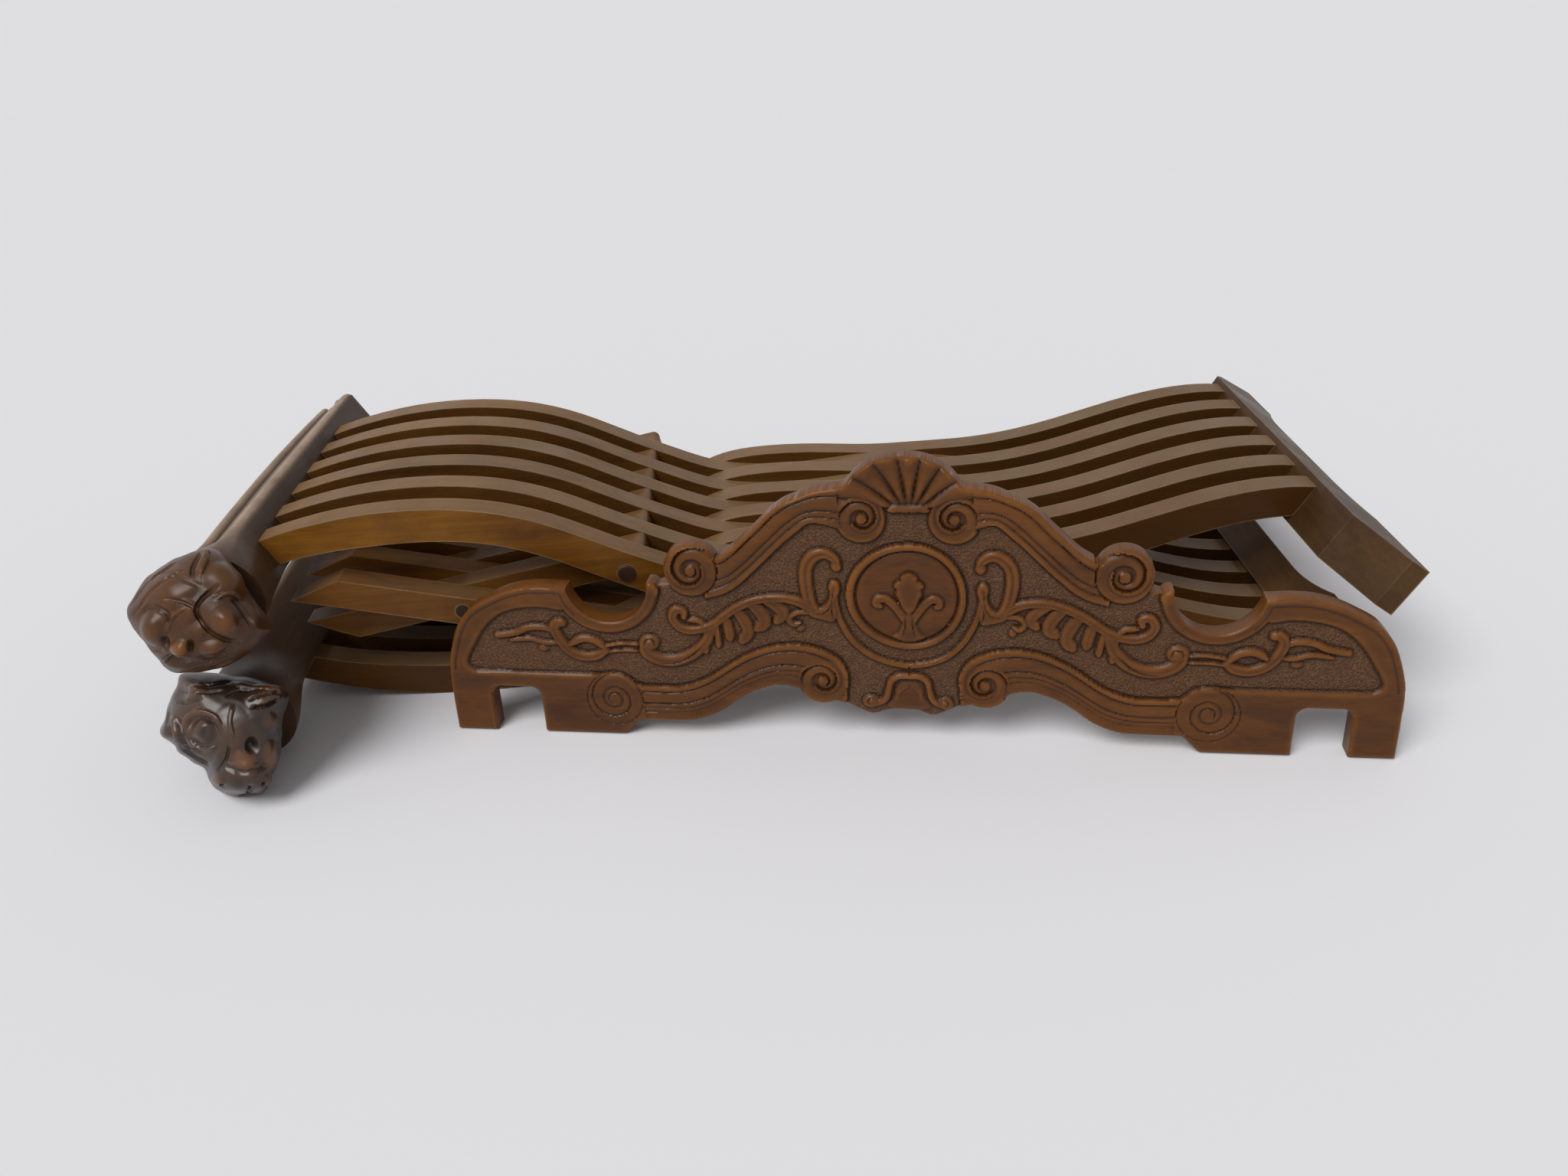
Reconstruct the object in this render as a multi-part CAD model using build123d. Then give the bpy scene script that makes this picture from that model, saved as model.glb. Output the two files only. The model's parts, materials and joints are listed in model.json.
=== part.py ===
"""Folding slatted chair with interleaved S-shaped slats, shown folded flat with its back panel off.

Chair axes: "along" runs on X from the arms (minus) to the feet (plus) with the chair folded,
"rise" is the height over the fold's mirror plane, and depth is Y, from the chair's front to its
back. The main pivot is the zero of along and rise, and the front face of the first slat is the
zero of depth. The folded chair lies on one slat lobe and one foot rail, so all of it is tipped by
a small angle and then moved until the box around it stands on Z = 0, centred on the origin.
Frame a goes from the upper arm to the lower foot, and frame b is its mirror image.
"""

from build123d import *
from math import asin, atan2, cos, degrees, hypot, radians, sin
import os

# ---- driving dimensions, in millimetres and degrees ----

slats_per_frame = 6
slat_thickness = 20.0        # along the depth
slot_clearance = 0.5         # between a slat and the next one
fold_half_angle = 31.0       # how far each frame turns from folded flat to open

arm_face_along, arm_face_rise = -467.0, 58.0      # middle of the arm rail's under face
foot_face_along, foot_face_rise = 310.5, -52.5    # middle of the foot rail's upper face
slat_spare = 25.0            # how far a slat is drawn past each of these faces before it is trimmed

# centre line of a frame a slat and its height there: along, rise, height
slat_stations = [
    (arm_face_along - slat_spare, 47, 24), (-434, 65, 24), (-389, 71.5, 26), (-344, 73, 26),
    (-300, 68, 26.5), (-260, 55.5, 28), (-215, 34.5, 29), (-176, 17, 30), (-141, 2, 34), (-96, -4.5, 36),
    (-48, -3.5, 38), (0, 0, 40), (46, -2, 38), (90, -6, 34), (130, -13, 31), (170, -23.5, 29),
    (210, -36, 27.5), (250, -47, 26), (290, -53, 25), (foot_face_along + slat_spare, -50, 24),
]

arm_width, arm_height = 37.0, 54.0
arm_flare = 6.0              # how much wider the arm rail is at its front, on the outer side
arm_front, arm_rear_overhang = -24.0, 42.0        # front end's depth, and length behind the slats
arm_edge_round = 7.0
beads = [(7.0, 5.0), (32.0, 3.0)]                 # on the outer side: height over the under face, radius
bead_proud = 1.5

foot_width, foot_height = 39.0, 41.0
foot_front, foot_rear_overhang = -88.0, 16.5      # toe's depth, and length behind the slats
toe_slope_start, toe_nose_height, toe_nose_lean = -37.0, 12.0, 6.0
sole_recess = 11.0
front_pad_end, front_flare_end = -5.0, 53.0       # depths where the front pad and its flare end
rear_pad_length, rear_flare_length = 55.0, 45.0
heel_bevel = 8.0

tenon_width, tenon_thickness, tenon_length, tenon_clearance = 15.0, 9.0, 22.0, 0.1

pivot_diameter, seat_dowel_diameter, middle_dowel_diameter = 14.0, 14.0, 12.0
turning_clearance = 0.05     # on the radius, where a piece turns on a dowel
dowel_proud, dowel_edge_round = 1.5, 1.2

seat_hinge_along, seat_hinge_rise = -206.0, 27.0  # the seat dowel of frame a
seat_slat_height = 23.0
seat_hinge_overhang = 15.0
seat_hinge_round = 5.0
seat_rest_gap = 1.0          # level, between a seat slat's cut end and the slat it rests on when open

skull_radius, skull_depth = 44.0, -72.0           # lion head: ball of the skull
skull_side, skull_height = 2.0, 28.0
muzzle_radius, muzzle_depth = 27.0, -105.0
muzzle_side, muzzle_height = 10.0, 16.0
brow_radius, brow_depth, brow_height = 18.0, -96.0, 40.0
neck_start_radius, neck_end_radius, neck_rear = 22.0, 38.0, -6.0

panel_length, panel_thickness, panel_height = 682.0, 16.0, 221.0
panel_relief = 4.0           # how far the raised work stands over the ground
panel_end_height, panel_shoulder_height = 23.5, 120.5
notch_clearance, notch_depth, notch_corner = 0.5, 38.0, 8.0
bite_centre, bite_half_width, bite_depth = 212.0, 30.0, 26.5
lower_edge = [(0, 26.5), (11, 26), (22, 22.5), (33, 27), (41, 31), (58, 36), (76, 42.5), (91, 44.5),
              (109.5, 38), (122, 30), (134, 21), (146, 15.5), (157, 13), (175, 12.5), (196, 12.5)]
block_corner_side = 209.0
end_curve = [(0.99, 52), (0.96, 66), (0.899, 83), (0.838, 93.5), (0.747, 103), (0.616, 110.5),
             (0.485, 116.5), (0.333, 120.5), (0.182, 121.5)]      # share from the bite to the end, height
bite_inner_side, shoulder_side, shoulder_dip = 182.0, 140.0, (171, 124.5)
shoulder_curve = [(129, 146.5), (119.5, 152.5), (110, 161.5), (100, 171), (91.5, 180), (82, 187), (73, 191),
                  (61, 196), (50, 198), (40, 200)]
crest_mid = (23, 215.5)
shoulder_volute, upper_volute, inner_volute, outer_volute = (149, 135.5), (35, 176), (58, 49), (212.5, 31)
shoulder_volute_radius, upper_volute_radius = 20.0, 18.0
inner_volute_radius, outer_volute_radius = 18.5, 22.0
inner_volute_step = 1.0      # from the outline to the inner volute's raised disc
curl_centre, curl_radius = (180, 120), 6.5
medallion_height, medallion_radius, medallion_rim = 118.0, 41.0, 6.5
border_width = 14.5
border_inner_side = 240.0

panel_yaw, panel_lean = 9.5, 4.0                  # standing by itself before the folded chair
panel_along, panel_depth = -8.6, -89.5            # the middle of its front lower edge

# ---- values that follow from them ----

half_pitch = slat_thickness + slot_clearance
slat_pitch = 2 * half_pitch
pack_depth = slats_per_frame * slat_pitch - slot_clearance
fold_travel = 2 * fold_half_angle

hinge_radius = hypot(seat_hinge_along, seat_hinge_rise)
hinge_angle = degrees(atan2(seat_hinge_rise, -seat_hinge_along))
seat_half_span = hinge_radius * sin(radians(hinge_angle + fold_half_angle))
seat_folded_angle = degrees(asin(seat_hinge_rise / seat_half_span))
seat_travel = 90 - seat_folded_angle + fold_half_angle
middle_along = seat_hinge_along - seat_half_span * cos(radians(seat_folded_angle))

arm_rear = pack_depth + arm_rear_overhang
foot_rear = pack_depth + foot_rear_overhang

# the arm side lobe's top lies on the floor, and so does an edge of the foot rail
lobe_rise, lobe_along = max((rise + height / 2, along) for along, rise, height in slat_stations)
tilt_run = foot_face_along + foot_width / 2 * sin(radians(fold_half_angle)) - lobe_along
foot_corner_rise = -foot_face_rise + foot_width / 2 * cos(radians(fold_half_angle))
rest_tilt = degrees(atan2(lobe_rise - foot_corner_rise, tilt_run))

# the panel's notches go over the open chair's arms, and its bites are arcs
notch_side = -arm_face_along * sin(radians(fold_half_angle)) + arm_face_rise * cos(radians(fold_half_angle))
notch_width = arm_width + 2 * notch_clearance
bite_radius = (bite_half_width ** 2 + bite_depth ** 2) / (2 * bite_depth)
bite_height = panel_shoulder_height - bite_depth + bite_radius


# ---- helpers ----

def rod_y(radius, front, rear, along=0.0, rise=0.0, edge_round=0.0):
    """A round rod that runs along the depth."""
    rod = Cylinder(radius, rear - front, rotation=(-90, 0, 0))
    if edge_round:
        rod = fillet(rod.edges().filter_by(GeomType.CIRCLE), edge_round)
    return Pos(along, (front + rear) / 2, rise) * rod


def ball(radius):
    """A ball with its poles along the depth."""
    return Sphere(radius, rotation=(90, 0, 0))


def block(x_range, y_range, z_range):
    """A box between the given limits."""
    size = [high - low for low, high in (x_range, y_range, z_range)]
    middle = [(high + low) / 2 for low, high in (x_range, y_range, z_range)]
    return Pos(*middle) * Box(*size)


def rail_place(along, rise):
    """Place of a frame a rail: X goes outward over the arm, Y along the depth, Z up when open."""
    turn = radians(fold_half_angle)
    return Plane(origin=(along, 0, rise), x_dir=(-sin(turn), 0, cos(turn)),
                 z_dir=(-cos(turn), 0, -sin(turn))).location


def to_frame_b(piece):
    """The mirror image in the fold's mirror plane."""
    return mirror(piece, about=Plane.XY)


arm_place = rail_place(arm_face_along, arm_face_rise)
foot_place = rail_place(foot_face_along, foot_face_rise)
far = 400.0                  # larger than any rail section, for trimming


# ---- slats ----

def slat_face():
    """Side outline of a frame a slat at the depth zero, longer than it ends up."""
    upper = [(along, 0, rise + height / 2) for along, rise, height in slat_stations]
    lower = [(along, 0, rise - height / 2) for along, rise, height in slat_stations]
    edges = [Spline(*upper), Line(upper[-1], lower[-1]), Spline(*lower[::-1]), Line(lower[0], upper[0])]
    return make_face(edges)


def tenon(depth, inside, clearance=0.0):
    """The tenon of the slat at this depth, in a rail's axes, up into it or down into it."""
    half_width = tenon_width / 2 + clearance
    half_thickness = tenon_thickness / 2 + clearance
    middle = depth + slat_thickness / 2
    reach = (0, tenon_length + clearance) if inside > 0 else (-tenon_length - clearance, 0)
    return block((-half_width, half_width), (middle - half_thickness, middle + half_thickness), reach)


def frame_slat(depth, dowel_holes):
    """A frame a slat with its front face at this depth."""
    slat = extrude(slat_face(), amount=slat_thickness, dir=(0, 1, 0))
    slat = Pos(0, depth, 0) * slat
    slat -= arm_place * block((-far, far), (-far, far), (0, far))
    slat -= foot_place * block((-far, far), (-far, far), (-far, 0))
    slat += arm_place * tenon(depth, 1)
    slat += foot_place * tenon(depth, -1)
    for along, rise, diameter, clearance in dowel_holes:
        radius = diameter / 2 + clearance
        slat -= rod_y(radius, depth - 1, depth + slat_thickness + 1, along, rise)
    return slat


# ---- rails ----

def slat_depths(side):
    """Front face depths of the slats of frame "a" or "b"."""
    first = 0.0 if side == "a" else half_pitch
    return [first + number * slat_pitch for number in range(slats_per_frame)]


def lion_head():
    """The carved head as plain masses: neck, skull, brow and muzzle, in the arm rail's axes."""
    neck = Cone(neck_start_radius, neck_end_radius, neck_rear - skull_depth, rotation=(90, 0, 0))
    head = Pos(0, (neck_rear + skull_depth) / 2, skull_height) * neck
    head += Pos(skull_side, skull_depth, skull_height) * ball(skull_radius)
    head += Pos(muzzle_side, muzzle_depth, muzzle_height) * ball(muzzle_radius)
    head += Pos(muzzle_side, brow_depth, brow_height) * ball(brow_radius)
    return head


def arm_rail(side):
    """Arm rail with its head, on frame a's side, with mortises for the slats of frame a or b."""
    half = arm_width / 2
    corners = [(-half, arm_front), (half + arm_flare, arm_front), (half, arm_rear), (-half, arm_rear)]
    rail = extrude(Polygon(*corners, align=None), amount=arm_height)
    upper_edges = rail.edges().group_by(Axis.Z)[-1].sort_by(SortBy.LENGTH)[-2:]
    rail = fillet(upper_edges, arm_edge_round)
    length = arm_rear - arm_front
    flare_turn = degrees(atan2(arm_flare, length))
    for height, radius in beads:
        bead = rod_y(radius, bead_proud, length - radius, bead_proud - radius, 0, bead_proud)
        rail += Pos(half + arm_flare, arm_front, height) * Rot(0, 0, flare_turn) * bead
    rail += lion_head()
    for depth in slat_depths(side):
        rail -= tenon(depth, 1, tenon_clearance)
    return arm_place * rail


def foot_profile():
    """Side outline of a foot rail in depth and height: toe slope, pads and recessed sole."""
    rear_pad = foot_rear - rear_pad_length
    rear_flare = rear_pad - rear_flare_length
    sole, recess = -foot_height, sole_recess - foot_height
    nose_top = toe_nose_height - foot_height
    corners = [(front_pad_end, sole), (foot_front, sole), (foot_front + toe_nose_lean, nose_top),
               (toe_slope_start, 0), (foot_rear - heel_bevel, 0), (foot_rear, -heel_bevel),
               (foot_rear, sole), (rear_pad, sole)]
    edges = [Line((0, *start), (0, *end)) for start, end in zip(corners, corners[1:])]
    edges.append(flare((rear_pad, sole), (rear_flare, recess)))
    edges.append(Line((0, rear_flare, recess), (0, front_flare_end, recess)))
    edges.append(flare((front_pad_end, sole), (front_flare_end, recess)))
    return make_face(edges)


def flare(pad, recess):
    """A concave arc that leaves the recess smoothly and meets the pad."""
    run, step = pad[0] - recess[0], recess[1] - pad[1]
    radius = (run * run + step * step) / (2 * step)
    turn = asin(run / radius) / 2
    middle = (0, recess[0] + radius * sin(turn), recess[1] - radius * (1 - cos(turn)))
    return ThreePointArc((0, *recess), middle, (0, *pad))


def foot_rail(side):
    """Foot rail on frame a's side, with mortises for the slats of frame a or b."""
    rail = Pos(-foot_width / 2, 0, 0) * extrude(foot_profile(), amount=foot_width, dir=(1, 0, 0))
    for depth in slat_depths(side):
        rail -= tenon(depth, -1, tenon_clearance)
    return foot_place * rail


# ---- seat ----

def seat_outline():
    """A seat slat level and open: X from the hinge to the far end, Z up."""
    half = seat_slat_height / 2
    top_reach, bottom_reach = seat_end_reach(half), seat_end_reach(-half)
    corners = [(-seat_hinge_overhang, -half), (bottom_reach, -half), (top_reach, half),
               (-seat_hinge_overhang, half)]
    points = [(x, 0, z) for x, z in corners]
    return make_face(Polyline(*points, close=True))


def slat_at_rise(offset):
    """Along and rise of the point where a frame a slat's lower edge is level with the open seat.

    The edge is turned open, and the point is where its height matches the hinge's plus an offset.
    """
    turn = radians(fold_half_angle)
    hinge_up = -(seat_hinge_along * cos(turn) + seat_hinge_rise * sin(turn))
    last = None
    for along, rise, height in slat_stations:
        lower = rise - height / 2
        up = -(along * cos(turn) + lower * sin(turn))
        side = -along * sin(turn) + lower * cos(turn)
        if up <= hinge_up + offset:
            share = (last[0] - hinge_up - offset) / (last[0] - up)
            return last[1] + share * (side - last[1])
        last = (up, side)
    raise ValueError("the seat is outside the slats")


def seat_end_reach(offset):
    """Length of a seat slat at this height over its middle, up to the slat it rests on."""
    return seat_half_span + slat_at_rise(offset) - seat_rest_gap


def seat_slat(depth):
    """A seat slat hinged on frame a, folded, with its front face at this depth."""
    slat = extrude(seat_outline(), amount=slat_thickness, dir=(0, 1, 0))
    hinge_edges = slat.edges().filter_by(Axis.Y).group_by(Axis.X)[0]
    slat = fillet(hinge_edges, seat_hinge_round)
    slat -= rod_y(seat_dowel_diameter / 2 + turning_clearance, -1, slat_thickness + 1)
    slat -= rod_y(middle_dowel_diameter / 2, -1, slat_thickness + 1, seat_half_span)
    # level and pointing along +X when made: mirrored to point at the arms, then tipped down
    slat = mirror(slat, about=Plane.YZ)
    slat = Rot(0, -seat_folded_angle, 0) * slat
    return Pos(seat_hinge_along, depth, seat_hinge_rise) * slat


# ---- back panel ----

def mirrored_pair(centre, radius):
    """Two discs at equal distances from the panel's middle, in its outline's plane."""
    side, height = centre
    disc = Circle(radius)
    return Pos(side, height) * disc + Pos(-side, height) * disc


def panel_end():
    """Points of the panel's right end, up from its side and over to the bite."""
    bite_edge, half = bite_centre + bite_half_width, panel_length / 2
    return [*((bite_edge + share * (half - bite_edge), height) for share, height in end_curve),
            (bite_edge, panel_shoulder_height)]


def panel_outline():
    """Outline of the panel: X along it from its middle, Y up."""
    half = panel_length / 2
    right = [
        Spline(*lower_edge),
        Line(lower_edge[-1], (block_corner_side, 0)),
        Line((block_corner_side, 0), (half, 0)),
        Line((half, 0), (half, panel_end_height)),
        Spline((half, panel_end_height), *panel_end()),
        Line((bite_centre + bite_half_width, panel_shoulder_height), (bite_inner_side, panel_shoulder_height)),
        Line((bite_inner_side, panel_shoulder_height), shoulder_dip),
        Line(shoulder_dip, (shoulder_side, shoulder_dip[1])),
        Line((shoulder_side, shoulder_dip[1]), shoulder_curve[0]),
        Spline(*shoulder_curve),
        ThreePointArc(shoulder_curve[-1], crest_mid, (0, panel_height)),
        Line((0, panel_height), lower_edge[0]),
    ]
    right_half = make_face(right)
    outline = right_half + mirror(right_half, about=Plane.YZ)
    outline += mirrored_pair(shoulder_volute, shoulder_volute_radius)
    outline += mirrored_pair(inner_volute, inner_volute_radius)
    outline += mirrored_pair(curl_centre, curl_radius)
    outline -= mirrored_pair((bite_centre, bite_height), bite_radius)
    for side in (-notch_side, notch_side):
        notch = RectangleRounded(notch_width, 2 * notch_depth, notch_corner)
        outline -= Pos(side, 0) * notch
    return outline


def raised_work():
    """What stands over the panel's ground: discs of the volutes, the medallion's rim, the ends."""
    work = mirrored_pair(shoulder_volute, shoulder_volute_radius)
    work += mirrored_pair(upper_volute, upper_volute_radius)
    work += mirrored_pair(inner_volute, inner_volute_radius - inner_volute_step)
    work += mirrored_pair(outer_volute, outer_volute_radius)
    rim = Circle(medallion_radius) - Circle(medallion_radius - medallion_rim)
    work += Pos(0, medallion_height) * rim
    return work


def end_field():
    """The field inside the border of the panel's right end."""
    floor = notch_depth + border_width
    middle = (bite_centre + bite_half_width, floor)
    curve = []
    for side, height in panel_end():
        if height <= floor:
            continue
        reach = hypot(side - middle[0], height - middle[1])
        share = 1 - border_width / reach
        curve.append((middle[0] + (side - middle[0]) * share, middle[1] + (height - middle[1]) * share))
    right = panel_length / 2 - border_width
    edges = [Line((border_inner_side, floor), (right, floor)), Spline((right, floor), *curve),
             Line(curve[-1], (border_inner_side, curve[-1][1])),
             Line((border_inner_side, curve[-1][1]), (border_inner_side, floor))]
    return make_face(edges) - Pos(bite_centre, bite_height) * Circle(bite_radius + border_width)


def end_border(outline):
    """The plain raised border around each end of the panel."""
    width = panel_length / 2 - border_inner_side + border_width      # past the end, to take all of it
    end = Pos(border_inner_side + width / 2, panel_height / 2) * Rectangle(width, panel_height)
    end = (outline & end) - end_field()
    return end + mirror(end, about=Plane.YZ)


def back_panel():
    """The carved back panel, standing on its lower edge in front of the chair."""
    outline = panel_outline()
    ground = extrude(outline, amount=panel_thickness - panel_relief)
    raised = extrude(raised_work() & outline, amount=panel_thickness)
    raised += extrude(end_border(outline), amount=panel_thickness)
    panel = ground + raised
    # stand it up, front face forward, with the middle of its lower front edge at zero
    panel = Pos(0, panel_thickness, 0) * Rot(90, 0, 0) * panel
    panel = Rot(-panel_lean, 0, 0) * panel
    panel = Rot(0, 0, -panel_yaw) * panel
    return panel


# ---- assembly ----

def build_nodes():
    """Every node in the chair's axes, except the back panel, which stands on the floor itself."""
    nodes = {}
    depths = {"a": slat_depths("a"), "b": slat_depths("b")}
    pivot = (0, 0, pivot_diameter)
    hinge = (seat_hinge_along, seat_hinge_rise, seat_dowel_diameter)
    clearance = {"a": turning_clearance, "b": 0.0}
    for side in ("a", "b"):
        holes = [(*pivot, clearance[side]), (*hinge, 0.0)]
        slat = frame_slat(0, holes)
        seat = seat_slat(0)
        arm = arm_rail(side)
        foot = foot_rail(side)
        if side == "b":
            slat, seat, arm, foot = (to_frame_b(piece) for piece in (slat, seat, arm, foot))
        nodes[f"arm_rail_{side}"] = arm
        nodes[f"foot_rail_{side}"] = foot
        other = depths["b" if side == "a" else "a"]
        for number in range(slats_per_frame):
            nodes[f"slat_{side}{number + 1}"] = Pos(0, depths[side][number], 0) * slat
            nodes[f"seat_slat_{side}{number + 1}"] = Pos(0, other[number], 0) * seat
    front, rear = -dowel_proud, pack_depth + dowel_proud
    nodes["pivot_rod"] = rod_y(pivot_diameter / 2, front, rear, edge_round=dowel_edge_round)
    for side, sign in (("a", 1), ("b", -1)):
        nodes[f"seat_dowel_{side}"] = rod_y(seat_dowel_diameter / 2, front, rear, seat_hinge_along,
                                            sign * seat_hinge_rise, dowel_edge_round)
    pieces = [rod_y(middle_dowel_diameter / 2, depth, depth + slat_thickness, middle_along)
              for depth in depths["a"]]
    nodes["middle_dowel"] = Compound(children=pieces)
    return nodes


def main():
    os.makedirs("parts", exist_ok=True)
    tilt = Rot(0, rest_tilt, 0)
    nodes = {name: tilt * piece for name, piece in build_nodes().items()}
    floor = min(piece.bounding_box().min.Z for piece in nodes.values())
    panel = back_panel()
    panel_low = panel.bounding_box().min.Z
    nodes["back_panel"] = Pos(panel_along, panel_depth, floor - panel_low) * panel
    boxes = [piece.bounding_box() for piece in nodes.values()]
    low = [min(getattr(box.min, axis) for box in boxes) for axis in "XYZ"]
    high = [max(getattr(box.max, axis) for box in boxes) for axis in "XYZ"]
    shift = Pos(-(low[0] + high[0]) / 2, -(low[1] + high[1]) / 2, -low[2])
    for name, piece in nodes.items():
        export_step(shift * piece, f"parts/{name}.step")
    print("size", [round(b - a, 2) for a, b in zip(low, high)])
    for label, along, rise in (("fold pivot", 0, 0), ("seat hinge a", seat_hinge_along, seat_hinge_rise),
                               ("seat hinge b", seat_hinge_along, -seat_hinge_rise)):
        place = shift * tilt * Pos(along, pack_depth / 2, rise)
        print(label, [round(value, 4) for value in place.position])
    print("travel: fold", fold_travel, "seat", round(seat_travel, 4), "ratio", round(seat_travel / fold_travel, 6))
    print("rest tilt", round(rest_tilt, 4), "seat half span", round(seat_half_span, 3))
    print("panel corner", [round(value, 3) for value in (shift * Pos(panel_along, panel_depth, floor)).position])


main()
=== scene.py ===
"""Looks of the folded slatted chair: its carved back panel, moulded arms with heads, and woods."""

import bpy
import json
import math
import numpy as np
from mathutils import Euler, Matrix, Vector


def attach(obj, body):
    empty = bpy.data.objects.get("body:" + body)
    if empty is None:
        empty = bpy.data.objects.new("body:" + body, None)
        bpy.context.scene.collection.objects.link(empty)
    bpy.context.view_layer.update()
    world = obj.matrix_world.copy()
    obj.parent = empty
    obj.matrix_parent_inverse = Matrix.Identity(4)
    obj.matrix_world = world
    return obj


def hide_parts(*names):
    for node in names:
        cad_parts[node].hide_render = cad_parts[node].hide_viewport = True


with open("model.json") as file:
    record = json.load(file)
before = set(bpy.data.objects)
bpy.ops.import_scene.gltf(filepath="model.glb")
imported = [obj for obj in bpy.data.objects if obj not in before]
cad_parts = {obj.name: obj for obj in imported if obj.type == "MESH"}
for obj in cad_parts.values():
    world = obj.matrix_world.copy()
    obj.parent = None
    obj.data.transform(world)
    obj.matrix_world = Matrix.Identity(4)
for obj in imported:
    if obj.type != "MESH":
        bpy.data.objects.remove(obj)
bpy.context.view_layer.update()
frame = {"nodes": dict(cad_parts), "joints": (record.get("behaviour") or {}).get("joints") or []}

pivot = next(np.array(joint["pos_m"]) for joint in frame["joints"] if joint["name"] == "fold")

# Lengths are in millimetres and angles in degrees. A mesh turns into metres when it is made, and
# the lamp, the floor and the materials are written in metres.
MM = 0.001
REST_TILT = 1.4469           # how far the folded chair leans over on its slats and foot
HALF_DEPTH = 122.75          # of the slats' pack, from its front to the fold joint
FLOOR_GAP = 0.4              # under what lies on the floor


# ---- camera, light and floor ----

CAMERA_FROM_PIVOT = (-93.75, -963.11, 481.07)
CAMERA_TURN = (60.714, 3.077, -2.116)
FOCAL_PIXELS, IMAGE_WIDTH, SENSOR_WIDTH = 1657.0, 2048.0, 36.0
SUN_PLACE, SUN_TARGET = (-0.75, -0.8, 1.5), (0, 0, 0.1)
SUN_STRENGTH, SUN_SOFTNESS = 2.15, 35
AIR_COLOUR, AIR_LIGHT, AIR_SEEN = (0.99, 0.98, 1.0, 1), 0.36, 0.73
FLOOR_HALF, FLOOR_COLOUR = 30.0, (0.82, 0.818, 0.835, 1)

camera_place = pivot + np.array(CAMERA_FROM_PIVOT) * MM
camera_turn = Euler([math.radians(angle) for angle in CAMERA_TURN])
view_right, view_up = (np.array(axis) for axis in camera_turn.to_matrix().transposed()[:2])


def link(name, data):
    thing = bpy.data.objects.new(name, data)
    bpy.context.scene.collection.objects.link(thing)
    return thing


def make_camera():
    data = bpy.data.cameras.new("camera")
    data.sensor_width = SENSOR_WIDTH
    data.lens = SENSOR_WIDTH * FOCAL_PIXELS / IMAGE_WIDTH
    camera = link("camera", data)
    camera.location = camera_place
    camera.rotation_euler = camera_turn
    bpy.context.scene.camera = camera


def make_light():
    """A wide soft sun from the upper left, and pale air that looks paler than it lights."""
    sun = link("sun", bpy.data.lights.new("sun", "SUN"))
    sun.data.energy = SUN_STRENGTH
    sun.data.angle = math.radians(SUN_SOFTNESS)
    sun.location = SUN_PLACE
    sun.rotation_euler = (Vector(SUN_TARGET) - sun.location).to_track_quat("-Z", "Y").to_euler()
    world = bpy.data.worlds.new("world")
    bpy.context.scene.world = world
    n = Nodes(world)
    lit, seen = n.tree.nodes["Background"], n.add("ShaderNodeBackground")
    for air, strength in ((lit, AIR_LIGHT), (seen, AIR_SEEN)):
        n.put(air.inputs["Color"], AIR_COLOUR)
        n.put(air.inputs["Strength"], strength)
    rays = n.add("ShaderNodeLightPath").outputs
    looking = n.maths("MAXIMUM", rays["Is Camera Ray"], rays["Is Glossy Ray"])
    looking = n.maths("MAXIMUM", looking, rays["Is Transmission Ray"])
    mix = n.add("ShaderNodeMixShader", _0=looking, _1=lit.outputs[0], _2=seen.outputs[0])
    n.put(n.tree.nodes["World Output"].inputs["Surface"], mix.outputs[0])


def make_floor():
    corners = [(x * FLOOR_HALF, y * FLOOR_HALF, 0) for x, y in ((-1, -1), (1, -1), (1, 1), (-1, 1))]
    mesh = bpy.data.meshes.new("floor")
    mesh.from_pydata(corners, [], [(0, 1, 2, 3)])
    n = Nodes(bpy.data.materials.new("floor_paper"))
    mesh.materials.append(n.finish(FLOOR_COLOUR, 0.8, specular=0.1))
    link("floor", mesh)


# ---- materials ----

# The second colour is a painted pale sheen for what faces up; the third is painted shade between slats.
DIRT, PAINTED_TOP_SHEEN, GAP_SHADE = (0.05, 0.03, 0.02), (0.205, 0.145, 0.085), (0.035, 0.014, 0.004)
# The first colour is for pale edges: worn, and partly a painted highlight.
WORN_EDGE_AND_HIGHLIGHT, BARE_WOOD, PALE_SPECK = (0.42, 0.29, 0.17), (0.75, 0.69, 0.62), (0.25, 0.15, 0.08)
WOOD_GLOSS = 0.42            # roughness of the plain woods
EDGE_WIDTH = 1.6 * MM        # of the wear and painted highlight along an edge


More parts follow.
